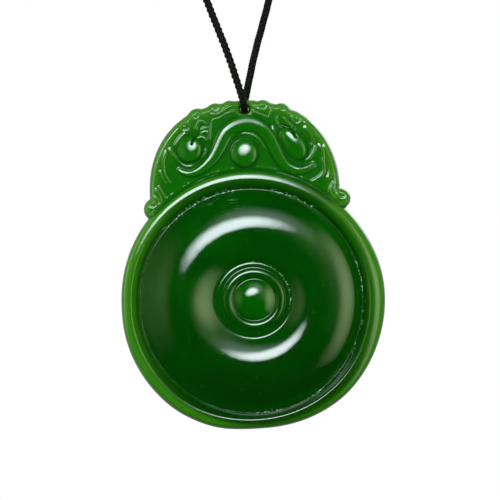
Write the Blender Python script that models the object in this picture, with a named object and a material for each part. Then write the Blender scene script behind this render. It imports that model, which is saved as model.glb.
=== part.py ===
"""Carved jade pendant on a black neck cord, hanging as it is worn. Metres, +Z up, the carved face towards -Y.

The origin is where the nape of a neck carries the necklace: the underside of the knot at the top of the loop.
"""

import math

import bmesh
import bpy
from mathutils import Matrix, Vector

MM = 0.001
WELD = 0.001 * MM
# What one unit of the drawn routes and carved lines below stands for
DRAWING_UNIT = 1.0 * MM

# Disc: radii from its centre, and heights of its carved face above the middle plane
DISC_RADIUS = 21.5 * MM
RIM_CREST_RADIUS = 19.8 * MM
GROOVE_RADIUS = 18.4 * MM
SWELL_RADIUS = 11.0 * MM
STEP_RADIUS = 6.2 * MM
STEP_EDGE = 0.1 * MM
RING_OUTER_RADIUS = 5.1 * MM
RING_INNER_RADIUS = 3.45 * MM
BOSS_RADIUS = 3.05 * MM
RIM_HEIGHT = 2.7 * MM
GROOVE_HEIGHT = 1.75 * MM
SWELL_HEIGHT = 3.7 * MM
STEP_HEIGHT = 2.55 * MM
STEP_DEPTH = 0.3 * MM
RING_RISE = 0.55 * MM
BOSS_RISE = 0.85 * MM
DISC_BACK = 2.4 * MM

# Crest: a squared half oval above the disc, measured from the disc's centre
CREST_HALF_WIDTH = 15.8 * MM
CREST_TOP = 33.3 * MM
CREST_SHOULDER = 17.5 * MM
CREST_SQUARENESS = 2.3
CREST_SHIFT = -0.4 * MM
CREST_FRONT = 2.0 * MM
CREST_BACK = 1.9 * MM
CREST_FRONT_ROUNDING = 2.0 * MM
CREST_BACK_ROUNDING = 1.3 * MM
CREST_SEAT_RADIUS = 20.0 * MM
CREST_SEAT_INSET = 3.6 * MM
CREST_FOOT = 13.6 * MM
CREST_FOOT_TAPER = 0.9 * MM

# Relief on the crest: how far each kind stands above the crest's face, and the thickness of its lines
PEARL_RADIUS = 2.1 * MM
PEARL_RISE = 1.3 * MM
PEARL_HEIGHT = 24.8 * MM
PEARL_SHIFT = -0.3 * MM
NICHE_RADIUS = 3.4 * MM
NICHE_DROP = 0.5 * MM
NICHE_FOOT_SINK = 0.4 * MM
NICHE_LINE = 0.3 * MM
RIBBON_LINE = 0.62 * MM
CARVED_LINE = 0.34 * MM
CHEEK_RISE = 1.2 * MM
EYE_RADIUS = 0.8 * MM
EYE_LINE = 0.25 * MM
LOBE_RISE = 0.4 * MM
LOBE_BACK = 1.5 * MM
LOBE_SQUARENESS = 2.8
COIL_LINE = 0.26 * MM
DOT_SHARE = 0.45
# Share of a carved line's half thickness by which its middle lies below the face that carries it
LINE_SINK = 0.2

# Cord, its bore through the crest, and the loop that it makes
CORD_RADIUS = 0.65 * MM
CORD_CLEARANCE = 0.3 * MM
BORE_HEIGHT = 31.75 * MM
LOOP_HEIGHT = 256.0 * MM
LOOP_HALF_WIDTH = 56.5 * MM
KNOT_RADIUS = 1.7 * MM
KNOT_HALF_LENGTH = 4.5 * MM
KNOT_TURNS = 5
KNOT_GAP = 0.3 * MM
# Distance between the cord's points: close where it bends out of the bore, growing to a wide one
CORD_NEAR_SPACING = 0.95 * MM
CORD_FAR_SPACING = 9.8 * MM
CORD_NEAR_LENGTH = 7.0 * MM
CORD_SPACING_GROWTH = 0.35

# How finely round shapes are faceted
CURVE_STEPS = 24
QUARTER_STEPS = 4
FLANK_STEPS = 6
DISC_SIDES = 72
OUTLINE_STEPS = 44
SEAT_STEPS = 16
ARCH_STEPS = 14
LOBE_STEPS = 8
LOBE_SIDES = 20
DOME_SIDES = 16
RING_SIDES = 16
DOT_SIDES = 8
BORE_SIDES = 24
KNOT_SIDES = 16
SHARP_ANGLE = 35.0

JADE_GREEN = (0.010, 0.141, 0.004)
JADE_ROUGHNESS = 0.12
CORD_BLACK = (0.006, 0.006, 0.006)
CORD_ROUGHNESS = 0.7

# Route of the cord from the middle of the bore up to the knot, on the side that leaves by the back.
# Near the stone it is in drawing units from the bore: across, out and up.
STONE_ROUTE = (
    (0.00, 0.00, 0.00),
    (0.00, 1.80, 0.00),
    (0.04, 3.20, 0.40),
    (0.20, 4.30, 1.45),
    (0.56, 4.90, 3.00),
    (1.15, 5.05, 5.20),
    (2.50, 4.85, 10.00),
)
# Above it, across and up are shares of the loop's half width and height, and out is in drawing units.
LOOP_ROUTE = (
    (0.125, 4.10, 0.095),
    (0.330, 2.70, 0.250),
    (0.590, 1.20, 0.450),
    (0.830, 0.30, 0.640),
    (0.965, 0.00, 0.760),
    (0.997, 0.00, 0.825),
    (0.955, 0.00, 0.888),
    (0.825, 0.00, 0.942),
    (0.610, 0.00, 0.980),
    (0.340, 0.00, 0.997),
)

# Carved lines of the crest, in drawing units from the disc's centre: across and up
RIBBON = (
    (-11.9, 22.6), (-10.0, 21.4), (-8.5, 21.9), (-7.1, 22.9), (-5.9, 24.3), (-5.0, 25.8), (-4.3, 27.6),
    (-3.0, 29.1), (-1.6, 29.8), (0.0, 30.0), (1.6, 29.5), (3.0, 28.3), (4.0, 26.4), (4.8, 24.7),
    (5.5, 23.1), (6.9, 21.9), (8.5, 21.3), (10.0, 21.3), (11.2, 22.3),
)
CARVED_LINES = {
    "left_jaw": (
        (-13.1, 26.1), (-12.5, 24.8), (-11.1, 23.5), (-9.7, 22.9), (-8.6, 23.2), (-7.6, 24.1), (-7.1, 25.6),
    ),
    "left_brow": ((-12.1, 26.9), (-11.3, 28.2), (-10.0, 28.6), (-8.6, 28.6), (-7.7, 27.5), (-6.7, 26.8)),
    "left_crown": ((-6.1, 26.5), (-6.0, 28.6), (-5.6, 30.4), (-3.7, 31.0), (-1.7, 31.2)),
    "left_horn": ((-13.5, 25.3), (-14.1, 23.8), (-14.1, 21.8), (-13.3, 20.0)),
    "left_fin": ((-15.3, 19.2), (-14.8, 18.4), (-13.9, 17.5)),
    "right_jaw": (
        (4.3, 28.7), (5.0, 26.7), (5.8, 25.0), (6.9, 23.3), (8.4, 22.4), (9.8, 22.6), (10.8, 23.7),
        (11.3, 25.2),
    ),
    "right_beak": ((5.0, 30.2), (6.4, 29.6), (7.6, 28.6), (8.6, 27.4), (9.3, 26.4)),
    "right_crown": ((3.6, 29.8), (3.1, 31.1), (1.7, 31.3)),
    "right_horn": ((11.5, 25.2), (12.4, 23.8), (12.7, 21.8), (12.2, 20.2), (10.6, 19.4)),
    "right_fin": ((14.2, 18.9), (13.4, 17.5), (14.0, 16.1)),
}
# Rounded masses of the crest, in drawing units and degrees: where, half sizes across and up, and turn
CHEEKS = {
    "left_cheek": {"at": (-9.7, 25.7), "half": (2.3, 2.2), "turn": 0.0},
    "right_cheek": {"at": (7.9, 25.3), "half": (1.9, 2.9), "turn": 35.0},
}
EYES = {"left_eye": (-10.1, 29.3), "right_eye": (8.65, 29.6)}
# Lobes that scallop the crest's edge, in drawing units: where, how wide, and the coil carved on each
LOBES = {
    "left_spiral": {"at": (-15.5, 16.6), "radius": 1.9, "coil": 1.05},
    "right_spiral": {"at": (14.6, 16.4), "radius": 1.9, "coil": 1.05},
    "left_outer_cloud": {"at": (-7.0, 30.95), "radius": 1.65, "coil": 0.8},
    "left_inner_cloud": {"at": (-3.6, 31.75), "radius": 1.75, "coil": 0.85},
    "right_inner_cloud": {"at": (2.6, 31.6), "radius": 1.65, "coil": 0.8},
    "right_outer_cloud": {"at": (6.0, 30.9), "radius": 1.6, "coil": 0.75},
}


def clear_scene():
    for thing in list(bpy.data.objects):
        bpy.data.objects.remove(thing, do_unlink=True)


def material(name, colour, roughness):
    """A Principled material of one colour."""
    made = bpy.data.materials.new(name)
    made.use_nodes = True
    shader = made.node_tree.nodes["Principled BSDF"]
    shader.inputs["Base Color"].default_value = (*colour, 1.0)
    shader.inputs["Roughness"].default_value = roughness
    shader.inputs["Metallic"].default_value = 0.0
    made.diffuse_color = (*colour, 1.0)
    return made


def mesh_object(name, work):
    """A new object that holds the bmesh, with its faces turned outwards."""
    bmesh.ops.recalc_face_normals(work, faces=work.faces)
    mesh = bpy.data.meshes.new(name)
    work.to_mesh(mesh)
    work.free()
    made = bpy.data.objects.new(name, mesh)
    bpy.context.scene.collection.objects.link(made)
    return made


def as_mesh(thing):
    """The object again, with its curve or its modifiers turned into a plain closed mesh."""
    bpy.context.view_layer.update()
    graph = bpy.context.evaluated_depsgraph_get()
    mesh = bpy.data.meshes.new_from_object(thing.evaluated_get(graph))
    name = thing.name
    bpy.data.objects.remove(thing, do_unlink=True)
    work = bmesh.new()
    work.from_mesh(mesh)
    bmesh.ops.remove_doubles(work, verts=work.verts, dist=WELD)
    return mesh_object(name, work)


def smooth_points(route, spacing):
    """Points along the smooth curve through the route, about spacing(distance gone) apart."""
    route = [Vector(point) for point in route]
    ends = [2 * route[0] - route[1], *route, 2 * route[-1] - route[-2]]
    fine = [route[0]]
    for before, start, end, after in zip(ends, ends[1:], ends[2:], ends[3:]):
        for step in range(1, CURVE_STEPS + 1):
            t = step / CURVE_STEPS
            pull = (end - before) * t + (2 * before - 5 * start + 4 * end - after) * t**2
            fine.append(0.5 * (2 * start + pull + (3 * start - before - 3 * end + after) * t**3))
    gone = [0.0]
    for start, end in zip(fine, fine[1:]):
        gone.append(gone[-1] + (end - start).length)
    kept = [fine[0]]
    due = spacing(0.0)
    for point, distance in zip(fine, gone):
        if distance >= due and distance < gone[-1] - 0.5 * spacing(distance):
            kept.append(point)
            due = distance + spacing(distance)
    kept.append(fine[-1])
    return kept


def tube(name, points, radius, resolution):
    """A round rod along the points, with closed ends."""
    curve = bpy.data.curves.new(name, "CURVE")
    curve.dimensions = "3D"
    curve.bevel_depth = radius
    curve.bevel_resolution = resolution
    curve.use_fill_caps = True
    spline = curve.splines.new("POLY")
    spline.points.add(len(points) - 1)
    for place, point in zip(spline.points, points):
        place.co = (*point, 1.0)
    made = bpy.data.objects.new(name, curve)
    bpy.context.scene.collection.objects.link(made)
    return made


def turned(name, profile, centre, axis, sides):
    """A shape turned about an axis through the centre, from the points of its section."""
    work = bmesh.new()
    places = [work.verts.new(point) for point in profile]
    edges = [work.edges.new(pair) for pair in zip(places, places[1:])]
    bmesh.ops.spin(
        work,
        geom=places + edges,
        cent=centre,
        axis=axis,
        angle=2 * math.pi,
        steps=sides,
        use_duplicate=False,
    )
    bmesh.ops.remove_doubles(work, verts=work.verts, dist=WELD)
    return mesh_object(name, work)


def on_stone(across, up, front=0.0):
    """A place on the stone, whose own origin is the middle of the bore. Front counts towards -Y."""
    return Vector((across, -front, up - BORE_HEIGHT))


def quarter(share):
    """Falls from 1 at share 0 to 0 at share 1, level at first and steepest at the end."""
    return math.cos(0.5 * math.pi * share)


def arc(across, level, half_width, rise, start, end):
    """Points of an oval about (across, level), from the start angle to the end angle in degrees."""
    steps = round(QUARTER_STEPS * abs(end - start) / 90)
    turns = [math.radians(start + (end - start) * i / steps) for i in range(steps + 1)]
    return [(across + half_width * math.cos(turn), level + rise * math.sin(turn)) for turn in turns]


def disc_profile():
    """Radius and height of the disc's section, from the middle of its face to the middle of its back."""
    floor = STEP_HEIGHT - STEP_DEPTH
    ring_middle = 0.5 * (RING_INNER_RADIUS + RING_OUTER_RADIUS)
    ring_half = 0.5 * (RING_OUTER_RADIUS - RING_INNER_RADIUS)
    rim_inside = RIM_CREST_RADIUS - GROOVE_RADIUS
    rim_outside = DISC_RADIUS - RIM_CREST_RADIUS
    shares = [i / FLANK_STEPS for i in range(FLANK_STEPS + 1)]
    profile = [(BOSS_RADIUS * share, floor + BOSS_RISE * (1 - share**2)) for share in shares]
    profile += arc(ring_middle, floor, ring_half, RING_RISE, 180, 0)
    profile.append((STEP_RADIUS, floor))
    for share in reversed(shares):
        rise = (SWELL_HEIGHT - STEP_HEIGHT) * quarter(share)
        profile.append((SWELL_RADIUS - share * (SWELL_RADIUS - STEP_RADIUS - STEP_EDGE), STEP_HEIGHT + rise))
    for share in shares[1:]:
        rise = (SWELL_HEIGHT - GROOVE_HEIGHT) * quarter(share)
        profile.append((SWELL_RADIUS + share * (GROOVE_RADIUS - SWELL_RADIUS), GROOVE_HEIGHT + rise))
    profile += arc(RIM_CREST_RADIUS, GROOVE_HEIGHT, rim_inside, RIM_HEIGHT - GROOVE_HEIGHT, 180, 90)[1:]
    profile += arc(RIM_CREST_RADIUS, 0.0, rim_outside, RIM_HEIGHT, 90, 0)[1:]
    profile += arc(RIM_CREST_RADIUS, 0.0, rim_outside, DISC_BACK, 0, -90)[1:]
    profile.append((0.0, -DISC_BACK))
    return profile


def disc():
    """The round part of the stone, turned about the axis through its face."""
    section = [on_stone(radius, 0.0, height) for radius, height in disc_profile()]
    return turned("disc", section, on_stone(0.0, 0.0), (0, 1, 0), DISC_SIDES)


def crest_outline(inset):
    """Across and up of the crest's edge drawn in by the inset: over its top, and back along its seat."""
    half_width = CREST_HALF_WIDTH - inset
    height = CREST_TOP - CREST_SHOULDER - inset
    power = 2 / CREST_SQUARENESS
    outline = [(half_width - CREST_FOOT_TAPER, CREST_FOOT)]
    for i in range(OUTLINE_STEPS + 1):
        turn = math.pi * i / OUTLINE_STEPS
        across = math.copysign(half_width * abs(math.cos(turn)) ** power, math.cos(turn))
        outline.append((across, CREST_SHOULDER + height * math.sin(turn) ** power))
    outline.append((CREST_FOOT_TAPER - half_width, CREST_FOOT))
    seat_turn = math.asin((CREST_HALF_WIDTH - CREST_SEAT_INSET) / CREST_SEAT_RADIUS)
    for i in range(SEAT_STEPS + 1):
        turn = seat_turn * (2 * i / SEAT_STEPS - 1)
        outline.append((CREST_SEAT_RADIUS * math.sin(turn), CREST_SEAT_RADIUS * math.cos(turn)))
    return [(across + CREST_SHIFT, up) for across, up in outline]


def crest_plate():
    """The body of the crest, with rounded edges. Its seat is hidden under the disc's rim."""
    section = arc(CREST_BACK_ROUNDING, 0.0, CREST_BACK_ROUNDING, CREST_BACK, -90, -180)
    section += arc(CREST_FRONT_ROUNDING, 0.0, CREST_FRONT_ROUNDING, CREST_FRONT, 180, 90)[1:]
    work = bmesh.new()
    rings = []
    for inset, front in section:
        rings.append([work.verts.new(on_stone(across, up, front)) for across, up in crest_outline(inset)])
    for low, high in zip(rings, rings[1:]):
        for i, here in enumerate(low):
            work.faces.new((low[i - 1], here, high[i], high[i - 1]))
    work.faces.new(rings[0])
    work.faces.new(rings[-1])
    return mesh_object("crest_plate", work)


def dome(name, across, up, level, half_across, half_up, rise, sunk, turn=0.0, sides=DOME_SIDES):
    """A rounded mass that stands up from a level by its rise, and reaches below it by sunk."""
    work = bmesh.new()
    bmesh.ops.create_uvsphere(work, u_segments=sides, v_segments=sides // 2, radius=1.0)
    size = Matrix.Diagonal((half_across, half_up, 0.5 * (rise + sunk), 1.0))
    lean = Matrix.Rotation(math.radians(turn), 4, "Z")
    upright = Matrix.Rotation(math.radians(90), 4, "X")
    place = Matrix.Translation(on_stone(across, up, level + 0.5 * (rise - sunk)))
    bmesh.ops.transform(work, matrix=place @ upright @ lean @ size, verts=work.verts)
    return mesh_object(name, work)


def carved_line(name, route, radius):
    """A raised line on the crest's face, sunk to just over half its thickness."""
    level = CREST_FRONT - LINE_SINK * radius
    places = [on_stone(across * DRAWING_UNIT, up * DRAWING_UNIT, level) for across, up in route]
    rod = tube(name, smooth_points(places, lambda gone: 2.2 * radius), radius, 1)
    return as_mesh(rod)


def niche():
    """The thin arch round the pearl, whose legs run down into the rim."""
    spring = PEARL_HEIGHT - NICHE_DROP
    foot = math.sqrt(DISC_RADIUS**2 - NICHE_RADIUS**2) - NICHE_FOOT_SINK
    middle = 0.5 * (foot + spring)
    route = [(PEARL_SHIFT + NICHE_RADIUS, foot), (PEARL_SHIFT + NICHE_RADIUS, middle)]
    for i in range(ARCH_STEPS + 1):
        turn = math.pi * i / ARCH_STEPS
        route.append((PEARL_SHIFT + NICHE_RADIUS * math.cos(turn), spring + NICHE_RADIUS * math.sin(turn)))
    route += [(PEARL_SHIFT - NICHE_RADIUS, middle), (PEARL_SHIFT - NICHE_RADIUS, foot)]
    level = CREST_FRONT - LINE_SINK * NICHE_LINE
    return as_mesh(tube("niche", [on_stone(across, up, level) for across, up in route], NICHE_LINE, 1))


def ring_and_dot(name, across, up, level, radius, line):
    """A raised ring with a dot in it, on a face at that level."""
    ring = []
    for i in range(RING_SIDES):
        turn = 2 * math.pi * i / RING_SIDES
        ring.append(on_stone(across + radius * math.cos(turn), up + radius * math.sin(turn), level))
    loop = tube(name + "_ring", ring, line, 1)
    loop.data.splines[0].use_cyclic_u = True
    size = DOT_SHARE * radius
    dot = dome(name + "_dot", across, up, level, size, size, line, line, sides=DOT_SIDES)
    return [as_mesh(loop), dot]


def lobe(name, across, up, radius, coil):
    """A rounded button in the crest's edge, nearly as thick as the crest, with a coil on its face."""
    half_thickness = 0.5 * (CREST_FRONT + LOBE_RISE + LOBE_BACK)
    middle = 0.5 * (CREST_FRONT + LOBE_RISE - LOBE_BACK)
    power = 2 / LOBE_SQUARENESS
    section = []
    for i in range(LOBE_STEPS + 1):
        turn = math.pi * (0.5 - i / LOBE_STEPS)
        height = math.copysign(half_thickness * abs(math.sin(turn)) ** power, turn)
        section.append(on_stone(across + radius * abs(math.cos(turn)) ** power, up, middle + height))
    button = turned(name, section, on_stone(across, up), (0, 1, 0), LOBE_SIDES)
    level = middle + half_thickness * (1 - (coil / radius) ** LOBE_SQUARENESS) ** (1 / LOBE_SQUARENESS)
    return [button, *ring_and_dot(name + "_coil", across, up, level, coil, COIL_LINE)]


def relief():
    """Everything that stands on the crest, as closed meshes to be joined to the stone."""
    pieces = [niche(), carved_line("ribbon", RIBBON, RIBBON_LINE)]
    for name, route in CARVED_LINES.items():
        pieces.append(carved_line(name, route, CARVED_LINE))
    pearl = (PEARL_SHIFT, PEARL_HEIGHT, CREST_FRONT, PEARL_RADIUS, PEARL_RADIUS, PEARL_RISE, PEARL_RADIUS)
    pieces.append(dome("pearl", *pearl))
    for name, cheek in CHEEKS.items():
        across, up = (length * DRAWING_UNIT for length in cheek["at"])
        half_across, half_up = (length * DRAWING_UNIT for length in cheek["half"])
        mass = (across, up, CREST_FRONT, half_across, half_up, CHEEK_RISE, half_across, cheek["turn"])
        pieces.append(dome(name, *mass))
    for name, at in EYES.items():
        across, up = (length * DRAWING_UNIT for length in at)
        pieces += ring_and_dot(name, across, up, CREST_FRONT, EYE_RADIUS, EYE_LINE)
    for name, drawn in LOBES.items():
        across, up = (length * DRAWING_UNIT for length in drawn["at"])
        pieces += lobe(name, across, up, drawn["radius"] * DRAWING_UNIT, drawn["coil"] * DRAWING_UNIT)
    return pieces


def bore_cutter():
    """A round bar that goes right through the crest, wide enough for the cord with its clearance."""
    work = bmesh.new()
    bmesh.ops.create_cone(
        work,
        cap_ends=True,
        segments=BORE_SIDES,
        radius1=CORD_RADIUS + CORD_CLEARANCE,
        radius2=CORD_RADIUS + CORD_CLEARANCE,
        depth=4 * (CREST_FRONT + CREST_BACK),
        matrix=Matrix.Rotation(math.radians(90), 4, "X"),
    )
    return mesh_object("bore_cutter", work)


def after_boolean(thing, other, operation):
    """The object joined to the other or cut by it, which is then removed."""
    step = thing.modifiers.new(other.name, "BOOLEAN")
    step.operation = operation
    step.solver = "EXACT"
    step.object = other
    made = as_mesh(thing)
    bpy.data.objects.remove(other, do_unlink=True)
    return made


def shade(thing, coat):
    """Gives the object its one material, and smooth shading with its edges kept sharp."""
    thing.data.materials.clear()
    thing.data.materials.append(coat)
    thing.data.shade_smooth()
    thing.data.set_sharp_from_angle(angle=math.radians(SHARP_ANGLE))


def jade_pendant(jade):
    """The whole carved stone as one solid, with its origin in the middle of the bore."""
    stone = disc()
    for raised in [crest_plate(), *relief()]:
        stone = after_boolean(stone, raised, "UNION")
    stone = after_boolean(stone, bore_cutter(), "DIFFERENCE")
    stone.name = "jade_pendant"
    shade(stone, jade)
    return stone


def cord_spacing(gone):
    """Distance to the cord's next point, after the distance gone from the bore."""
    growth = CORD_SPACING_GROWTH * max(gone - CORD_NEAR_LENGTH, 0.0)
    return min(CORD_NEAR_SPACING + growth, CORD_FAR_SPACING)


def half_route():
    """The cord's route from the middle of the bore to the knot's end, measured from the bore."""
    route = [Vector(point) * DRAWING_UNIT for point in STONE_ROUTE]
    for across, out, up in LOOP_ROUTE:
        route.append(Vector((across * LOOP_HALF_WIDTH, out * DRAWING_UNIT, up * LOOP_HEIGHT)))
    route.append(Vector((KNOT_HALF_LENGTH + KNOT_GAP, 0.0, LOOP_HEIGHT)))
    return route


def neck_cord(black):
    """One cord, from the knot's left end down through the bore and up to its right end."""
    back = smooth_points(half_route(), cord_spacing)
    front = [Vector((-point.x, -point.y, point.z)) for point in back[:0:-1]]
    bore = Vector((0.0, 0.0, KNOT_RADIUS - LOOP_HEIGHT))
    cord = tube("neck_cord", [point + bore for point in front + back], CORD_RADIUS, 2)
    cord.data.materials.append(black)
    return cord


def neck_knot(black):
    """The knot at the nape: turns of cord side by side, turned about the cord's line."""
    core = KNOT_RADIUS - CORD_RADIUS
    half_pitch = KNOT_HALF_LENGTH / KNOT_TURNS
    profile = [(-KNOT_HALF_LENGTH, 0.0), (-KNOT_HALF_LENGTH, core)]
    for turn in range(KNOT_TURNS):
        middle = (2 * turn + 1) * half_pitch - KNOT_HALF_LENGTH
        profile += arc(middle, core, half_pitch, CORD_RADIUS, 180, 0)[1:]
    profile.append((KNOT_HALF_LENGTH, 0.0))
    section = [(across, 0.0, radius) for across, radius in profile]
    knot = turned("neck_knot", section, (0, 0, 0), (1, 0, 0), KNOT_SIDES)
    knot.location = (0.0, 0.0, KNOT_RADIUS)
    shade(knot, black)
    return knot


def main():
    clear_scene()
    jade = material("jade", JADE_GREEN, JADE_ROUGHNESS)
    black = material("black_cord", CORD_BLACK, CORD_ROUGHNESS)
    hang = bpy.data.objects.new("bore_axis", None)
    hang.empty_display_size = CREST_FRONT + CREST_BACK
    hang.location = (0.0, 0.0, KNOT_RADIUS - LOOP_HEIGHT)
    bpy.context.scene.collection.objects.link(hang)
    stone = jade_pendant(jade)
    stone.parent = hang
    neck_cord(black)
    neck_knot(black)


main()
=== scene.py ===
# %% [markdown]
# # A carved jade pendant on its black cord
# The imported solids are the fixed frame: a stone, a loop of cord and a knot. This lesson dresses them. Each piece is
# made again with fine relief or a real braid, in the place where its solid is, and gets a finish made of nodes.

# %% Load the frame
import math

import bmesh
import bpy
import numpy as np
from mathutils import Matrix, Vector


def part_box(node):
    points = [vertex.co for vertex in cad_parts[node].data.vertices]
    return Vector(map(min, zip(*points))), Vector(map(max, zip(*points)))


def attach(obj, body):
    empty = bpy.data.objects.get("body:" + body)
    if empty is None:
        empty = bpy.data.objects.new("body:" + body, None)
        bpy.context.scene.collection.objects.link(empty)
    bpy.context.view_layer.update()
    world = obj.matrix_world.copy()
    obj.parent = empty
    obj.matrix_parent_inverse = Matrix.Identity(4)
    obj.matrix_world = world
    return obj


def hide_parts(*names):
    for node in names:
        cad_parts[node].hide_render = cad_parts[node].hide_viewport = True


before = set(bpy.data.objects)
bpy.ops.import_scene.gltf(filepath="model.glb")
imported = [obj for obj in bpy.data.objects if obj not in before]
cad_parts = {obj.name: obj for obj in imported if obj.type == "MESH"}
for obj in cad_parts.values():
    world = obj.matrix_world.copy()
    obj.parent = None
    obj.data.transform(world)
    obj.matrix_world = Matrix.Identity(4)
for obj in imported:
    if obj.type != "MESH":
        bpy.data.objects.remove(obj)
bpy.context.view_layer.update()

MM = 0.001
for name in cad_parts:
    low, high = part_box(name)
    print(name, "is", [round(edge / MM, 1) for edge in high - low], "mm")

# %% [markdown]
# ## Where things are
# The stone is drawn in millimetres from the middle of its disc: across to the right, up, and height towards the
# viewer. The disc touches the bottom of the stone's box, so its radius above that is the middle. The origin of the
# whole model is the nape of the neck, where the knot lies, so the stone hangs far below it.

# %% Find the disc and the bore
DISC_RADIUS = 21.5
BORE_HEIGHT = 31.75

stone_low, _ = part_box("jade_pendant")
disc_middle = Vector((0.0, 0.0, stone_low.z + DISC_RADIUS * MM))
bore_middle = disc_middle + Vector((0.0, 0.0, BORE_HEIGHT * MM))
print("disc middle at", round(disc_middle.z / MM, 2), "mm, bore at", round(bore_middle.z / MM, 2), "mm")

# %% [markdown]
# ## Camera
# The picture was taken straight from the front with a long lens, and the stone leans a little to the left in it.
# The stone hangs plumb here, so the camera rolls instead. Its distance follows from the lens, so that six of the
# picture's pixels are one millimetre at the stone.

# %% Frame of the picture
PICTURE_SIZE = 500
PIXELS_PER_MM = 6.0
DISC_IN_PICTURE = (255.3, 299.3)
PICTURE_LEAN = math.radians(3.3)

picture_right = Vector((math.cos(PICTURE_LEAN), 0.0, -math.sin(PICTURE_LEAN)))
picture_up = Vector((math.sin(PICTURE_LEAN), 0.0, math.cos(PICTURE_LEAN)))
to_viewer = Vector((0.0, -1.0, 0.0))
frame_width = PICTURE_SIZE / PIXELS_PER_MM * MM
offset_right = (DISC_IN_PICTURE[0] - PICTURE_SIZE / 2) / PIXELS_PER_MM * MM
offset_up = (PICTURE_SIZE / 2 - DISC_IN_PICTURE[1]) / PIXELS_PER_MM * MM
picture_middle = disc_middle - picture_right * offset_right - picture_up * offset_up
print("the picture is", round(frame_width / MM, 1), "mm wide at the stone")

# %% Set up the camera
LENS = 300.0
SENSOR = 36.0
NEAREST, FARTHEST = 0.01, 20.0


def into_scene(name, data):
    """An object at the origin that shows the data."""
    made = bpy.data.objects.new(name, data)
    bpy.context.scene.collection.objects.link(made)
    return made


camera_distance = frame_width * LENS / SENSOR
camera_data = bpy.data.cameras.new("camera")
camera_data.lens = LENS
camera_data.sensor_width = SENSOR
camera_data.clip_start = NEAREST
camera_data.clip_end = FARTHEST
camera = into_scene("camera", camera_data)
axes = Matrix((picture_right, picture_up, to_viewer)).transposed().to_4x4()
camera.matrix_world = Matrix.Translation(picture_middle + to_viewer * camera_distance) @ axes
bpy.context.scene.camera = camera
print("camera", round(camera_distance / MM), "mm in front")

# %% [markdown]
# ## Route of the cord
# One cord passes through the bore and goes round as the loop of the necklace. Half of its route is drawn, from the
# bore to the knot: first in millimetres, across, out and up, and then as shares of the loop's half width and height.
# The other half is its mirror through the bore, because one strand leaves by the back of the stone and the other by
# the front. A Catmull-Rom curve makes the drawn points smooth.

# %% Draw the route
LOOP_HEIGHT = 256.0
LOOP_HALF_WIDTH = 56.5
KNOT_HALF_LENGTH = 4.5
CORD_INTO_KNOT = 1.0
ROUTE_STEPS = 24
STONE_ROUTE = (
    (0.00, 0.00, 0.00),
    (0.00, 1.80, 0.00),
    (0.04, 3.20, 0.40),
    (0.20, 4.30, 1.45),
    (0.56, 4.90, 3.00),
    (1.15, 5.05, 5.20),
    (2.50, 4.85, 10.00),
)
LOOP_ROUTE = (
    (0.125, 4.10, 0.095),
    (0.330, 2.70, 0.250),
    (0.590, 1.20, 0.450),
    (0.830, 0.30, 0.640),
    (0.965, 0.00, 0.760),
    (0.997, 0.00, 0.825),
    (0.955, 0.00, 0.888),
    (0.825, 0.00, 0.942),
    (0.610, 0.00, 0.980),
    (0.340, 0.00, 0.997),
)


def smooth_line(route, steps):
    """Places along the smooth curve through the route's points, as rows of an array."""
    points = np.array(route, dtype=float)
    ends = np.vstack([2 * points[0] - points[1], points, 2 * points[-1] - points[-2]])
    share = np.arange(1, steps + 1)[:, None] / steps
    rows = [points[:1]]
    for before, start, end, after in zip(ends, ends[1:], ends[2:], ends[3:]):
        pull = (end - before) * share + (2 * before - 5 * start + 4 * end - after) * share**2
        rows.append(0.5 * (2 * start + pull + (3 * start - before - 3 * end + after) * share**3))
    return np.vstack(rows)


half_route = [np.array(point) for point in STONE_ROUTE]
half_route += [np.array((across * LOOP_HALF_WIDTH, out, up * LOOP_HEIGHT)) for across, out, up in LOOP_ROUTE]
half_route.append(np.array((KNOT_HALF_LENGTH - CORD_INTO_KNOT, 0.0, LOOP_HEIGHT)))
back_half = smooth_line(half_route, ROUTE_STEPS)
front_half = (back_half * (-1.0, -1.0, 1.0))[:0:-1]
cord_line = np.vstack([front_half, back_half]) * MM + np.array(bore_middle)
cord_length = float(np.linalg.norm(np.diff(cord_line, axis=0), axis=1).sum())
print("cord:", len(cord_line), "fine points,", round(cord_length / MM, 1), "mm long")

# %% [markdown]
# ## Tools for node trees
# A finish is a tree of nodes, and much of it is arithmetic on masks, which is slow to read as single nodes. So one
# small class wraps a socket, and an expression such as 1 - mask * 0.5 adds its Math nodes by itself. Every other node
# comes from one method, which takes its type, its settings and what feeds it.


# %% Arithmetic on sockets
class Value:
    """A number that a node tree works out, so that 1 - mask * 0.5 adds its Math nodes by itself."""

    def __init__(self, tree, socket):
        self.tree = tree
        self.socket = socket

    def maths(self, operation, first, second):
        return self.tree.add("ShaderNodeMath", {"operation": operation}, {0: first, 1: second})

    def __add__(self, other):
        return self.maths("ADD", self, other)

    def __radd__(self, other):
        return self.maths("ADD", other, self)

    def __sub__(self, other):
        return self.maths("SUBTRACT", self, other)

    def __rsub__(self, other):
        return self.maths("SUBTRACT", other, self)

    def __mul__(self, other):
        return self.maths("MULTIPLY", self, other)

    def __rmul__(self, other):
        return self.maths("MULTIPLY", other, self)

    def __truediv__(self, other):
        return self.maths("DIVIDE", self, other)

    def within(self, low, high):
        """0 below low, 1 above high, and a smooth slope between."""
        settings = {"interpolation_type": "SMOOTHSTEP"}
        return self.tree.add("ShaderNodeMapRange", settings, {"Value": self, "From Min": low, "From Max": high})


print("sockets can be added, subtracted, multiplied and divided")


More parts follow.
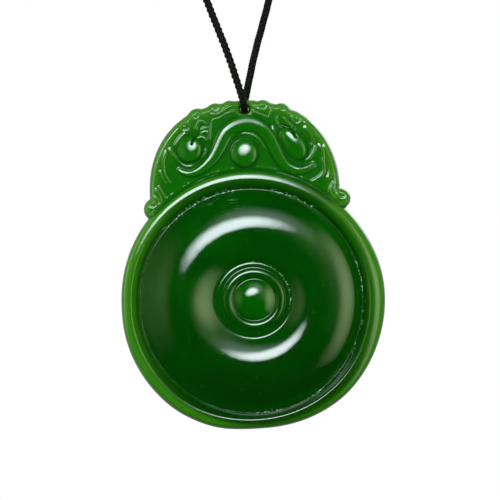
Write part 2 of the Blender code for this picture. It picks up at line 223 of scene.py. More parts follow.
# %% Trees and materials
class Tree:
    """A node tree that is filled by one method."""

    def __init__(self, node_tree):
        self.node_tree = node_tree
        node_tree.nodes.clear()

    def add(self, kind, settings=None, values=None, output=0):
        """Makes a node, sets it up, feeds its sockets, and gives back the output that is named."""
        node = self.node_tree.nodes.new(kind)
        for name, setting in (settings or {}).items():
            setattr(node, name, setting)
        for name, value in (values or {}).items():
            if isinstance(value, Value):
                self.node_tree.links.new(value.socket, node.inputs[name])
            else:
                node.inputs[name].default_value = value
        return Value(self, node.outputs[output]) if len(node.outputs) else node

    def mix_colours(self, first, second, share):
        """A colour between two, by a share from 0 to 1."""
        first, second = (colour if isinstance(colour, Value) else (*colour, 1.0) for colour in (first, second))
        return self.add("ShaderNodeMix", {"data_type": "RGBA"}, {0: share, 6: first, 7: second}, output=2)


def new_material(name):
    """An empty material and its tree."""
    material = bpy.data.materials.new(name)
    material.use_nodes = True
    return material, Tree(material.node_tree)


def dressed(name, mesh, material):
    """An object at the origin that shows the mesh in the material."""
    mesh.materials.clear()
    mesh.materials.append(material)
    return into_scene(name, mesh)


print("node tools ready")

# %% [markdown]
# ## Floor and white room
# The picture has a pure white ground. So a wide pale floor lies a metre below the hanging stone, and the world round
# it is white too, but only for the camera. For everything else both are dim in front, because a bright room would
# wash the polish out. Behind they are brighter, so that some light reaches the edge and the back. Less of that is
# mirrored, or the flat back would look grey.

# %% Floor and world
FLOOR_DROP = 1000.0
FLOOR_RADIUS = 3.5
FLOOR_SIDES = 96
FRONT_GLOW = 0.015
BACK_GLOW = 0.8
MIRRORED_SHARE = 0.35
WHITE = (1.0, 1.0, 1.0, 1.0)
# Where the brighter part begins and is full: metres behind the stone, and share of the way to straight behind
FLOOR_SLOPE = (0.2, 1.0)
ROOM_SLOPE = (0.15, 0.7)


def room_glow(tree, place, start, end):
    """White for the camera, and for other rays dim in front and brighter behind, from start to end."""
    seen = tree.add("ShaderNodeLightPath", output="Is Camera Ray")
    mirrored = tree.add("ShaderNodeLightPath", output="Is Glossy Ray")
    behind = tree.add("ShaderNodeSeparateXYZ", None, {0: place}, output="Y").within(start, end)
    dim = behind * (BACK_GLOW - FRONT_GLOW) * (1.0 - (1.0 - MIRRORED_SHARE) * mirrored) + FRONT_GLOW
    return seen + (1.0 - seen) * dim


floor_material, tree = new_material("pale_floor")
strength = room_glow(tree, tree.add("ShaderNodeTexCoord", output="Object"), *FLOOR_SLOPE)
glow = tree.add("ShaderNodeEmission", None, {"Color": WHITE, "Strength": strength})
tree.add("ShaderNodeOutputMaterial", None, {"Surface": glow})

work = bmesh.new()
floor_place = Matrix.Translation((0.0, 0.0, stone_low.z - FLOOR_DROP * MM))
bmesh.ops.create_circle(work, cap_ends=True, segments=FLOOR_SIDES, radius=FLOOR_RADIUS, matrix=floor_place)
floor_mesh = bpy.data.meshes.new("floor")
work.to_mesh(floor_mesh)
work.free()
floor = dressed("floor", floor_mesh, floor_material)

world = bpy.data.worlds.new("studio")
bpy.context.scene.world = world
world.use_nodes = True
tree = Tree(world.node_tree)
strength = room_glow(tree, tree.add("ShaderNodeTexCoord", output="Generated"), *ROOM_SLOPE)
room = tree.add("ShaderNodeBackground", None, {"Color": WHITE, "Strength": strength})
tree.add("ShaderNodeOutputWorld", None, {"Surface": room})
bpy.context.scene.view_settings.view_transform = "Standard"
print("floor", FLOOR_DROP, "mm below the stone")

# %% [markdown]
# ## Lamps
# The highlights on a polished stone are pictures of its lamps. A soft box above and a little to the left makes the
# white bands, and a wide glow behind it makes their soft ends. A card and a glow at either side make the faint olive
# patches, and one more box lights the back. Cloth over a lamp is brightest in its middle, so each one fades outwards.

# %% Place the lamps
LAMP_DISTANCE = 1.5
COOL = (0.865, 0.97, 1.0)
WARM = (0.86, 1.0, 0.55)
# In degrees as the stone sees them: to the right of the viewer and above, then width and height
LAMPS = {
    "soft_box": {
        "at": (-8.0, 20.0), "size": (40.0, 26.5), "radiance": 14.5, "colour": COOL, "roll": 21.0, "core": 0.3,
        "drop": 0.09},
    "soft_glow": {"at": (1.0, 28.0), "size": (50.0, 40.0), "radiance": 2.2, "colour": COOL, "roll": 10.0},
    "right_card": {"at": (42.0, -2.0), "size": (44.0, 78.0), "radiance": 2.3, "colour": WARM, "core": 0.05},
    "right_glow": {"at": (34.0, 14.0), "size": (70.0, 60.0), "radiance": 0.8, "colour": WARM},
    "left_card": {"at": (-42.0, 4.0), "size": (34.0, 60.0), "radiance": 0.55, "colour": WARM},
    "left_glow": {"at": (-84.0, 10.0), "size": (50.0, 80.0), "radiance": 3.0, "colour": WARM},
    "back_box": {"at": (20.0, 25.0), "size": (60.0, 50.0), "radiance": 3.0, "colour": COOL, "behind": True},
}


def lamp(name, at, size, radiance, colour, roll=0.0, core=0.0, drop=0.0, behind=False):
    """An oval area lamp that looks at the stone. It fades from its core to its edge, and a drop puts the brightest
    part nearer to its lower edge, which is then sharp."""
    light = bpy.data.lights.new(name, "AREA")
    light.shape = "ELLIPSE"
    light.size, light.size_y = (2 * LAMP_DISTANCE * math.tan(math.radians(extent / 2)) for extent in size)
    light.energy = radiance * math.pi * light.size * light.size_y * math.pi / 4
    light.color = colour
    light.use_nodes = True
    tree = Tree(light.node_tree)
    spot = tree.add("ShaderNodeNewGeometry", output="Parametric")
    settings = {"operation": "DISTANCE"}
    from_middle = tree.add("ShaderNodeVectorMath", settings, {0: spot, 1: (0.5, 0.5 - drop, 0.0)}, output="Value")
    glow = tree.add("ShaderNodeEmission", None, {"Strength": 1.0 - (from_middle * 2.0).within(core, 1.0)})
    tree.add("ShaderNodeOutputLight", None, {"Surface": glow})
    side, rise = (math.radians(angle) for angle in at)
    outward = picture_right * math.sin(side) * math.cos(rise) + picture_up * math.sin(rise)
    outward += to_viewer * math.cos(side) * math.cos(rise) * (-1.0 if behind else 1.0)
    beside = picture_up.cross(outward).normalized()
    above = outward.cross(beside)
    turned = Matrix((beside, above, outward)).transposed().to_4x4() @ Matrix.Rotation(math.radians(roll), 4, "Z")
    made = into_scene(name, light)
    made.matrix_world = Matrix.Translation(disc_middle + outward * LAMP_DISTANCE) @ turned
    made.visible_camera = False


for name, settings in LAMPS.items():
    lamp(name, **settings)
print("lamps:", list(LAMPS))

# %% [markdown]
# ## Section of the disc
# Cut through its middle, the disc shows a boss, a bead, a thin step, a broad swell, a groove and a rim. Every turned
# form is such a section, so the height of the face is a table over the radius. The creases are sharp at first.

# %% Sizes of the section
FLOOR_HEIGHT = 2.5
BOSS = {"radius": 3.36, "rise": 0.77, "power": 2.3}
BEAD = {"inner": 3.58, "outer": 5.26, "rise": 0.3, "sag": 0.22}
GUTTERS = ({"at": 3.47, "half": 0.115, "curve": 0.5}, {"at": 6.23, "half": 0.26, "curve": 1.0})
SWELL = {"radius": 11.1, "height": 3.7, "inner_bend": 0.1145, "outer_bend": 0.092, "steepest": 0.5}
GROOVE_RADIUS = 18.4
RIM = {"radius": 19.8, "height": 2.7}
RIM_TOP = {"peak": 19.55, "curve": 4.0}
RIM_BOTTOM = {"peak": 20.2, "curve": 4.4}
print("boss to", BOSS["radius"], "mm, bead to", BEAD["outer"], "mm, groove at", GROOVE_RADIUS, "mm from the middle")


# %% Draw the section
def crown(distance, half_width, rise, sag=0.0, squareness=2.0):
    """Height of a rounded ridge: its rise in the middle, less a sag, rolling off at its edge."""
    share = np.clip(distance / half_width, 0.0, 1.0)
    return (rise - sag * share**2) * np.sqrt(1.0 - share**squareness)


def swell_height(radius):
    """Height of the broad swell, whose round top runs out into straight flanks."""
    from_top = np.abs(radius - SWELL["radius"])
    bend = np.where(radius < SWELL["radius"], SWELL["inner_bend"], SWELL["outer_bend"])
    curved = np.minimum(from_top, SWELL["steepest"] / bend)
    return SWELL["height"] - bend * curved**2 / 2 - SWELL["steepest"] * (from_top - curved)


def rim_height(radius, rim, groove_height):
    """Height of the groove's straight outer wall and of the rounded rim beyond it."""
    climb = (radius - GROOVE_RADIUS) / (RIM["radius"] - GROOVE_RADIUS)
    lip = RIM["height"] - (RIM["radius"] - rim["peak"]) ** 2 / (2 * rim["curve"])
    wall = groove_height + (lip - groove_height) * climb
    cap = RIM["height"] - (radius - rim["peak"]) ** 2 / (2 * rim["curve"])
    return np.where(radius > RIM["radius"], cap, wall)


def disc_section(radius, rim):
    """Height of the disc's face over the radius, with sharp creases."""
    height = np.full_like(radius, FLOOR_HEIGHT)
    height += np.clip(BOSS["rise"] * (1.0 - (radius / BOSS["radius"]) ** BOSS["power"]), 0.0, None)
    middle = 0.5 * (BEAD["inner"] + BEAD["outer"])
    half = 0.5 * (BEAD["outer"] - BEAD["inner"])
    height += crown(np.abs(radius - middle), half, BEAD["rise"], BEAD["sag"], 4.0)
    for gutter in GUTTERS:
        inside = np.clip(gutter["half"] ** 2 - (radius - gutter["at"]) ** 2, 0.0, None)
        height -= inside / (2 * gutter["curve"])
    swell = swell_height(radius)
    height = np.where(radius > GUTTERS[-1]["at"] + GUTTERS[-1]["half"], swell, height)
    groove_height = float(np.interp(GROOVE_RADIUS, radius, swell))
    return np.where(radius > GROOVE_RADIUS, rim_height(radius, rim, groove_height), height)


print("swell from", round(float(swell_height(np.array(GROOVE_RADIUS))), 2), "to", SWELL["height"], "mm high")

# %% [markdown]
# ## Soft creases
# Polishing rounds every crease of a real stone by the same small amount, and a thin bright line then runs along each
# of them. A short blur of the table does the same, and a wider one softens the rim. The hand-cut rim leans a little
# inwards at the bottom and outwards at the top, so there are two tables.

# %% Round the creases
STEP = 0.01
BLUR_REACH = 60
TABLE_MARGIN = 2.0
CREASE_ROUNDING = 0.07
RIM_ROUNDING = 0.24
RIM_PART = 0.5


def fading(distance, width, power=2):
    """1 where the distance is nothing, falling to 0 over about the width."""
    return np.exp(-((distance / width) ** power))


def softened(width, rim):
    """The section with its creases rounded over the given width."""
    steps = np.arange(-BLUR_REACH, BLUR_REACH + 1)
    kernel = np.exp(-0.5 * (steps * STEP / (0.5 * width)) ** 2)
    sharp = disc_section(np.abs(np.arange(-BLUR_REACH, len(table_radius) + BLUR_REACH) * STEP), rim)
    return np.convolve(sharp, kernel / kernel.sum(), "valid")


table_radius = np.arange(0.0, DISC_RADIUS + TABLE_MARGIN, STEP)
rim_share = fading(table_radius - RIM["radius"], RIM_PART)
top_table, bottom_table = (
    softened(CREASE_ROUNDING, rim) * (1.0 - rim_share) + softened(RIM_ROUNDING, rim) * rim_share
    for rim in (RIM_TOP, RIM_BOTTOM)
)
print("disc face from", round(float(top_table.min()), 2), "to", round(float(top_table.max()), 2), "mm high")

# %% [markdown]
# ## Cut by hand
# The stone was cut by eye, so its rings are not quite round and not quite in the middle. Small tables over the radius
# say how far: a shift to the left, a bulge at one side only, and an outline that is wider by a share that changes
# round the disc. They work on the radius before the section is looked up, so every crease follows.

# %% Tables of the hand cutting
SIDE_BLUR = 0.35
ANGLE_BLUR = 9.0
# Each table has rows of a radius and the distance there, in millimetres
OFF_ROUND = {
    "aside": ((0.0, 0.0), (3.4, 0.15), (6.2, 0.33), (9.0, 0.45), (11.3, 0.35), (13.3, 0.1), (15.3, 0.25),
              (18.4, 0.6), (20.2, 0.75), (21.5, 0.42)),
    "wider": ((0.0, 0.0), (18.4, 0.0), (20.2, 0.25), (21.5, 1.0)),
    "left": ((0.0, 0.0), (6.5, 0.0), (8.0, 0.5), (10.0, 0.5), (12.0, 0.0), (21.5, 0.0)),
    "right": ((0.0, 0.0), (11.3, 0.0), (14.0, 0.65), (16.8, 0.8), (17.9, 0.0), (21.5, 0.0)),
    "low": ((0.0, 0.0), (16.8, 0.0), (18.5, 0.6), (19.6, 0.0), (21.5, 0.0)),
}
# Degrees to the right of upright, and the share of the widening there
WIDER_BY_ANGLE = (
    (-180.0, 0.0), (-172.0, 0.12), (-160.0, 0.69), (-140.0, 1.0), (-120.0, 0.84), (-105.0, 0.68), (-90.0, 0.38),
    (-60.0, 0.47), (0.0, 0.4), (40.0, 0.2), (60.0, 0.3), (85.0, 0.57), (110.0, 0.6), (140.0, 0.74), (160.0, 0.36),
    (172.0, 0.12), (180.0, 0.0),
)


def eased(points, blur, steps=800):
    """Places and values of a table through the points, with its corners eased over the blur on either side."""
    places, values = np.array(points).T
    spacing = (places[-1] - places[0]) / (steps - 1)
    reach = int(blur / spacing)
    kernel = np.hanning(2 * reach + 3)
    sharp = np.interp(places[0] + spacing * np.arange(-reach - 1, steps + reach + 1), places, values)
    return places[0] + spacing * np.arange(steps), np.convolve(sharp, kernel / kernel.sum(), "valid")


off_round_tables = {name: eased(points, SIDE_BLUR) for name, points in OFF_ROUND.items()}
wider_table = eased(WIDER_BY_ANGLE, ANGLE_BLUR)
print("tables over the radius:", list(off_round_tables))

# %% Out of round
SETTLING_ROUNDS = 4


def off_round(radius, turn):
    """How far the hand-cut shape lies inside a true circle, at an angle to the right of upright."""
    rightward, upward = np.sin(turn), np.cos(turn)
    table = {name: np.interp(radius, *rows) for name, rows in off_round_tables.items()}
    wider = np.interp(np.degrees(np.arctan2(rightward, upward)), *wider_table)
    off = table["aside"] * rightward - table["wider"] * wider - table["low"] * np.clip(-upward, 0.0, 1.0)
    off = off - table["left"] * np.clip(-rightward, 0.0, 1.0) ** 2
    return off - table["right"] * np.clip(rightward, 0.0, 1.0) ** 2


def round_ring(radius, turn):
    """Where the section's radius lies on the stone, at each angle."""
    found = radius - off_round(radius, turn)
    for _ in range(SETTLING_ROUNDS):
        found = radius - off_round(found, turn)
    return found


all_round = np.radians(np.arange(-180.0, 180.0, 1.0))
print("disc stands", round(float(round_ring(DISC_RADIUS, all_round).max()) - DISC_RADIUS, 2), "mm out of round")

# %% Height of the disc's face
EDGE_SQUARENESS = 6


def disc_height(radius, upward):
    """Height of the disc's face, rolled down to nothing at its edge. Upward, from -1 to 1, mixes the two tables."""
    radius = np.clip(radius, 0.0, DISC_RADIUS)
    edge = np.clip((radius - RIM["radius"]) / (DISC_RADIUS - RIM["radius"]), 0.0, 1.0)
    top = np.interp(radius, table_radius, top_table)
    bottom = np.interp(radius, table_radius, bottom_table)
    return (bottom + (top - bottom) * (0.5 + 0.5 * upward)) * np.sqrt(1.0 - edge**EDGE_SQUARENESS)


boss_height, rim_top = (float(disc_height(radius, 0.0)) for radius in (0.0, RIM["radius"]))
print("boss", round(boss_height, 2), "mm high, rim", round(rim_top, 2), "mm")

# %% [markdown]
# ## Outline of the crest
# The crest above the disc is a squared half oval. Seven small lobes let into its edge scallop it: two spirals at its
# feet and five clouds at the top. Depth inside the edge is what the outline, the rounding of the edge and the paler
# colour of the thin stone there are all made from, so one function gives it.

# %% Depth inside the crest's edge
CREST = {
    "half_width": 15.85, "top": 33.2, "shoulder": 17.65, "squareness": 2.27, "shift": -0.72,
    "foot": 13.6, "taper": 0.5, "front": 2.15, "lean": 0.025, "rounding": 0.8,
}
LOBES = {
    "left_spiral": {"at": (-15.75, 15.9), "radius": 1.93},
    "right_spiral": {"at": (15.05, 16.0), "radius": 1.78},
    "left_outer_cloud": {"at": (-7.8, 30.4), "radius": 1.9},
    "left_middle_cloud": {"at": (-4.85, 31.4), "radius": 1.6},
    "left_inner_cloud": {"at": (-2.4, 31.75), "radius": 1.55},
    "right_inner_cloud": {"at": (3.1, 31.45), "radius": 1.65},
    "right_outer_cloud": {"at": (6.1, 30.9), "radius": 1.5},
}
LOBE_BLEND = 0.2
CLOUD_DIP = {"depth": 0.14, "from": 1.7, "to": 8.8, "soft": 0.8, "above": 25.0}
OUTSIDE = -1.0
TINY = 1e-6


def blend_max(first, second, soft):
    """The higher of two, with a rounded corner where they cross."""
    share = np.clip(0.5 + 0.5 * (first - second) / soft, 0.0, 1.0)
    return second + (first - second) * share + soft * share * (1.0 - share)


def crest_depth(across, up):
    """How far inside the crest's edge a place is, in millimetres. It is negative outside."""
    right = np.abs(across - CREST["shift"])
    rise = np.clip(up - CREST["shoulder"], 0.0, None)
    power = CREST["squareness"]
    width, height = CREST["half_width"], CREST["top"] - CREST["shoulder"]
    size = np.maximum(((right / width) ** power + (rise / height) ** power) ** (1.0 / power), TINY)
    depth = np.hypot(right, rise) * (1.0 / size - 1.0)
    fall = (CREST["shoulder"] - up) / (CREST["shoulder"] - CREST["foot"])
    depth = np.where(up < CREST["shoulder"], width - CREST["taper"] * fall - right, depth)
    depth = np.where(up < CREST["foot"], OUTSIDE, depth)
    from_middle = np.abs(across)
    dip = np.clip((from_middle - CLOUD_DIP["from"]) / CLOUD_DIP["soft"], 0.0, 1.0)
    dip = dip * np.clip((CLOUD_DIP["to"] - from_middle) / CLOUD_DIP["soft"], 0.0, 1.0)
    depth = depth - CLOUD_DIP["depth"] * dip * (up > CLOUD_DIP["above"])
    for lobe in LOBES.values():
        inside = lobe["radius"] - np.hypot(across - lobe["at"][0], up - lobe["at"][1])
        depth = blend_max(depth, inside, LOBE_BLEND)
    return depth


print("bore's middle lies", round(float(crest_depth(0.0, BORE_HEIGHT)), 2), "mm inside the crest's edge")

# %% Reach of the stone
SEARCH_FROM, SEARCH_TO = 21.0, 36.0


def outline_radius(turn):
    """Distance from the disc's middle to the stone's edge, for an angle to the right of upright."""
    radius = np.arange(SEARCH_FROM, SEARCH_TO, STEP)[:, None]
    inside = crest_depth(radius * np.sin(turn), radius * np.cos(turn)) > 0.0
    return np.maximum(round_ring(DISC_RADIUS, turn), (radius * inside).max(axis=0))


print("stone reaches", round(float(outline_radius(all_round).max()), 2), "mm from the disc's middle")

# %% [markdown]
# ## Carving of the crest
# The crest shows a pearl under an arch, a ribbon like a bell round it, and a beast's head on either side. A carver
# leaves such a design as rounded ridges and domes with a crease at their foot. Each ridge follows a drawn line, and
# its height depends on the distance to that line, so every one of them is made by the same function.

# %% Draw the ribbon and the arch
RIBBON = (
    (-11.7, 22.5), (-10.8, 21.8), (-9.6, 21.45), (-8.15, 21.85), (-6.75, 22.8), (-5.5, 24.1), (-4.65, 25.45),
    (-3.95, 26.75), (-3.2, 27.9), (-2.0, 28.75), (-0.8, 29.15), (0.3, 29.25), (1.7, 28.95), (2.85, 28.15),
    (3.85, 26.8), (4.55, 25.2), (5.35, 23.3), (6.35, 21.95), (7.65, 21.15), (8.95, 20.95), (10.3, 21.35),
    (11.3, 22.1),
)
RIBBON_WIDTHS = (
    (0.0, 0.25), (0.07, 0.5), (0.16, 0.8), (0.3, 1.2), (0.5, 1.35), (0.62, 1.1), (0.8, 0.9), (1.0, 0.5),
)
RIBBON_SHAPE = {"rise": 0.42, "curve": 5.6, "squareness": 6.0, "blend": 0.06, "reach": 1.4}
ARCH = {"at": (-0.38, 24.3), "radius": 3.36, "half": 0.26, "rise": 0.12, "from": 0.02, "to": 0.98, "points": 15}
print("ribbon through", len(RIBBON), "points")

# %% Draw the ridges
LINES = {
    "left_jaw": {"half": 0.34, "rise": 0.14, "route": (
        (-12.95, 26.0), (-12.5, 25.05), (-11.85, 24.15), (-10.95, 23.15), (-10.0, 22.72), (-8.85, 22.82))},
    "left_cheek_edge": {"half": 0.28, "rise": 0.13, "route": ((-6.85, 25.6), (-7.1, 24.6), (-7.85, 23.6))},
    "left_back": {"half": 0.32, "rise": 0.13, "route": (
        (-11.95, 26.0), (-11.45, 27.0), (-10.55, 27.9), (-9.8, 28.35))},
    "left_lip": {"half": 0.36, "rise": 0.3, "route": (
        (-8.85, 26.35), (-8.4, 26.95), (-7.95, 27.3), (-7.5, 27.5), (-6.9, 27.25), (-6.45, 26.8))},
    "left_nose": {"half": 0.36, "rise": 0.16, "route": (
        (-8.35, 28.6), (-8.0, 29.65), (-7.4, 30.15), (-6.7, 29.85), (-6.3, 29.4))},
    "left_nostril": {"half": 0.24, "rise": 0.12, "route": ((-7.3, 28.5), (-6.85, 28.95), (-6.2, 28.85))},
    "left_tooth": {"half": 0.22, "rise": 0.11, "route": ((-7.35, 28.0), (-6.9, 28.3), (-6.3, 28.1))},
    "left_crown": {"half": 0.3, "rise": 0.14, "route": (
        (-6.1, 26.5), (-5.95, 28.4), (-5.45, 30.15), (-4.35, 30.45), (-2.95, 31.15), (-1.5, 31.5))},
    "left_cloud_line": {"half": 0.26, "rise": 0.11, "route": (
        (-5.75, 31.3), (-4.9, 31.05), (-4.35, 31.15), (-2.9, 32.0), (-1.45, 32.6))},
    "left_horn": {"half": 0.3, "rise": 0.14, "route": (
        (-13.35, 25.55), (-13.85, 24.5), (-14.05, 23.1), (-13.95, 22.0), (-13.6, 21.0), (-12.95, 19.95))},
    "left_horn_edge": {"half": 0.26, "rise": 0.12, "route": ((-14.65, 22.3), (-14.3, 21.1), (-13.65, 19.9))},
    "left_fin": {"half": 0.28, "rise": 0.14, "route": ((-15.05, 19.7), (-14.4, 18.45), (-13.85, 17.45))},
    "left_fin_edge": {"half": 0.28, "rise": 0.14, "route": (
        (-15.6, 19.3), (-14.95, 18.2), (-14.75, 17.1), (-15.2, 16.3))},
    "right_jaw": {"half": 0.3, "rise": 0.13, "route": (
        (4.45, 28.7), (4.8, 27.3), (5.25, 26.3), (6.0, 24.8), (6.9, 23.4), (8.1, 22.5))},
    "right_jaw_edge": {"half": 0.34, "rise": 0.15, "route": (
        (11.4, 25.1), (11.25, 24.4), (10.65, 23.4), (10.05, 22.8), (9.4, 22.6))},
    "right_back": {"half": 0.4, "rise": 0.11, "route": (
        (9.7, 28.3), (10.55, 27.2), (11.0, 25.9), (10.9, 24.7))},
    "right_nose": {"half": 0.3, "rise": 0.15, "route": ((5.45, 30.3), (5.2, 29.5), (5.45, 28.7))},
    "right_lip": {"half": 0.36, "rise": 0.21, "route": (
        (6.05, 30.05), (6.6, 29.75), (7.1, 29.05), (7.9, 28.3), (8.5, 27.65), (8.9, 26.85), (8.75, 26.15))},
    "right_hair": {"half": 0.3, "rise": 0.08, "route": ((9.6, 29.1), (10.6, 28.35), (11.25, 27.3), (11.65, 26.0))},
    "right_crown": {"half": 0.3, "rise": 0.14, "route": (
        (1.2, 31.3), (2.8, 30.65), (3.85, 30.2), (4.3, 31.0), (4.5, 31.7))},
    "right_cloud_line": {"half": 0.24, "rise": 0.1, "route": ((1.0, 32.4), (2.2, 31.6), (3.6, 31.3))},
    "right_horn": {"half": 0.32, "rise": 0.14, "route": (
        (11.9, 25.3), (12.5, 24.3), (12.65, 23.2), (12.5, 22.2), (12.6, 20.9), (12.1, 19.95),
        (10.9, 19.2), (9.8, 19.0))},
    "right_horn_edge": {"half": 0.6, "rise": 0.1, "route": (
        (12.9, 25.3), (13.6, 23.3), (13.85, 21.2), (13.6, 19.8), (12.9, 19.0))},
    "right_fang": {"half": 0.2, "rise": 0.1, "route": ((10.1, 18.95), (10.95, 18.2))},
    "right_fin": {"half": 0.28, "rise": 0.14, "route": (
        (14.3, 18.85), (13.6, 17.95), (13.35, 17.35), (13.7, 16.5), (14.25, 15.9))},
    "right_fin_edge": {"half": 0.24, "rise": 0.12, "route": (
        (14.65, 20.3), (14.5, 18.7), (14.1, 17.6), (14.15, 16.9))},
}
print("ridges:", len(LINES))

# %% Draw the coils, domes and creases
COILS = {
    "left_eye": {"at": (-10.05, 29.3), "ring": 0.72, "half": 0.24, "rise": 0.12, "dot": 0.3},
    "right_eye": {"at": (8.65, 29.6), "ring": 0.78, "half": 0.26, "rise": 0.13, "dot": 0.34},
    "left_spiral": {"at": (-16.2, 17.0), "ring": 0.95, "half": 0.3, "rise": 0.12, "dot": 0.35},
    "right_spiral": {"at": (15.45, 16.8), "ring": 0.95, "half": 0.3, "rise": 0.12, "dot": 0.35},
    "left_outer_cloud": {"at": (-8.2, 31.2), "ring": 0.75, "half": 0.26, "rise": 0.09, "dot": 0.25},
    "left_inner_cloud": {"at": (-4.8, 32.3), "ring": 0.75, "half": 0.26, "rise": 0.09, "dot": 0.25},
    "right_inner_cloud": {"at": (3.2, 32.2), "ring": 0.75, "half": 0.26, "rise": 0.09, "dot": 0.25},
    "right_outer_cloud": {"at": (6.4, 31.6), "ring": 0.7, "half": 0.26, "rise": 0.09, "dot": 0.25},
}
DOMES = {
    "pearl": {
        "at": (-0.38, 24.3), "half": (2.3, 2.3), "turn": 0.0, "rise": 0.85, "curve": (8.0, 13.5),
        "lean": (-0.06, 0.035)},
    "left_cheek": {
        "at": (-9.6, 25.55), "half": (2.35, 2.25), "turn": 0.0, "rise": 0.85, "curve": (6.4, 11.0),
        "lean": (-0.157, 0.039)},
    "right_cheek": {
        "at": (7.75, 25.5), "half": (1.95, 3.1), "turn": 33.0, "rise": 0.85, "curve": (3.5, 20.0),
        "lean": (-0.134, 0.034)},
}
CREASES = {
    "left_mouth": {"half": 0.22, "depth": 0.55, "route": ((-9.15, 26.3), (-8.6, 27.3), (-7.9, 28.1))},
    "right_mouth": {"half": 0.22, "depth": 0.5, "route": ((5.6, 28.9), (6.7, 28.4), (7.7, 27.5), (8.35, 26.4))},
}
print("carving:", len(COILS), "coils,", len(DOMES), "domes,", len(CREASES), "creases")

# %% [markdown]
# ## Height of the crest's carving
# Where two ridges meet, the higher one wins, with a small rounded corner between them. Only the places near a ridge
# are worked on, which keeps this fast for tens of thousands of them.

# %% Distance from a line
LINE_STEPS = 6
FAR_AWAY = 1e3
NO_LENGTH = 1e-12


def from_line(across, up, line):
    """Distance from each place to the line, and the share of the line's length at the nearest point."""
    nearest = np.full(across.shape, FAR_AWAY)
    along = np.zeros(across.shape)
    lengths = np.linalg.norm(np.diff(line, axis=0), axis=1)
    gone = np.concatenate([[0.0], np.cumsum(lengths)])
    for i, (start, end) in enumerate(zip(line, line[1:])):
        run = end - start
        share = ((across - start[0]) * run[0] + (up - start[1]) * run[1]) / max(run @ run, NO_LENGTH)
        share = np.clip(share, 0.0, 1.0)
        distance = np.hypot(across - start[0] - share * run[0], up - start[1] - share * run[1])
        closer = distance < nearest
        nearest = np.where(closer, distance, nearest)
        along = np.where(closer, (gone[i] + share * lengths[i]) / gone[-1], along)
    return nearest, along


def near_line(across, up, route, reach):
    """Marks the places near the smooth line through the route, and gives their distances and shares along it."""
    line = smooth_line(route, LINE_STEPS)
    low, high = line.min(axis=0) - reach, line.max(axis=0) + reach
    near = (across > low[0]) & (across < high[0]) & (up > low[1]) & (up < high[1])
    return near, *from_line(across[near], up[near], line)


from_pearl, _ = from_line(*(np.array([place]) for place in DOMES["pearl"]["at"]), np.array(RIBBON))
print("ribbon passes", round(float(from_pearl[0]), 2), "mm from the middle of the pearl")

# %% Ridges and domes
FOOT_BLEND = 0.06
RIDGE_END = {"share": 0.08, "width": 0.55, "widening": 0.45}
LOWEST_CAP = 0.1
DOME_SQUARENESS = 8


def end_taper(along, share):
    """Falls to nothing at both ends of a line, over the given share of its length."""
    return np.clip(along / share, 0.0, 1.0) ** 0.5 * np.clip((1.0 - along) / share, 0.0, 1.0) ** 0.5


def raise_ridge(relief, across, up, route, half_width, rise):
    """Adds a ridge along the route to the relief, lower and narrower towards its ends."""
    near, distance, along = near_line(across, up, route, half_width)
    taper = end_taper(along, RIDGE_END["share"])
    height = crown(distance, half_width * (RIDGE_END["width"] + RIDGE_END["widening"] * taper), rise) * taper
    relief[near] = blend_max(relief[near], height, FOOT_BLEND)


def dome_axes(dome, across, up):
    """Distances from a dome's middle along its two axes, and the share of the way to its edge."""
    turn = math.radians(dome["turn"])
    right, above = across - dome["at"][0], up - dome["at"][1]
    first = right * math.cos(turn) + above * math.sin(turn)
    second = above * math.cos(turn) - right * math.sin(turn)
    return first, second, np.hypot(first / dome["half"][0], second / dome["half"][1])


def dome_height(dome, across, up):
    """Height of a dome: a curved cap that leans a little and ends in a steep edge."""
    first, second, reach = dome_axes(dome, across, up)
    cap = dome["rise"] - dome["lean"][0] * first - dome["lean"][1] * second
    cap = cap - first**2 / (2 * dome["curve"][0]) - second**2 / (2 * dome["curve"][1])
    return np.clip(cap, LOWEST_CAP, None) * np.sqrt(1.0 - np.clip(reach, 0.0, 1.0) ** DOME_SQUARENESS)


print("a ridge is", RIDGE_END["width"], "of its full width at its ends")

# %% Ribbon and arch
RIBBON_END = 0.1

angles = math.pi * np.linspace(ARCH["from"], ARCH["to"], ARCH["points"])
arch_across = ARCH["at"][0] + ARCH["radius"] * np.cos(angles)
arch_up = ARCH["at"][1] + ARCH["radius"] * np.sin(angles)
arch_route = np.column_stack([arch_across, arch_up])


def raise_ribbon(relief, across, up):
    """Adds the ribbon to the relief: a flat band that is widest over the pearl."""
    near, distance, along = near_line(across, up, RIBBON, RIBBON_SHAPE["reach"])
    half_width = np.interp(along, *zip(*RIBBON_WIDTHS))
    sag = half_width**2 / (2 * RIBBON_SHAPE["curve"])
    height = crown(distance, half_width, RIBBON_SHAPE["rise"], sag, RIBBON_SHAPE["squareness"])
    relief[near] = blend_max(relief[near], height * end_taper(along, RIBBON_END), RIBBON_SHAPE["blend"])


print("arch stands", round(float(arch_up.max()), 2), "mm above the disc's middle")

# %% Height of the carving
DOME_BLEND = 0.03
CREASE_END = 0.3
DEEPEST_CUT = -0.1


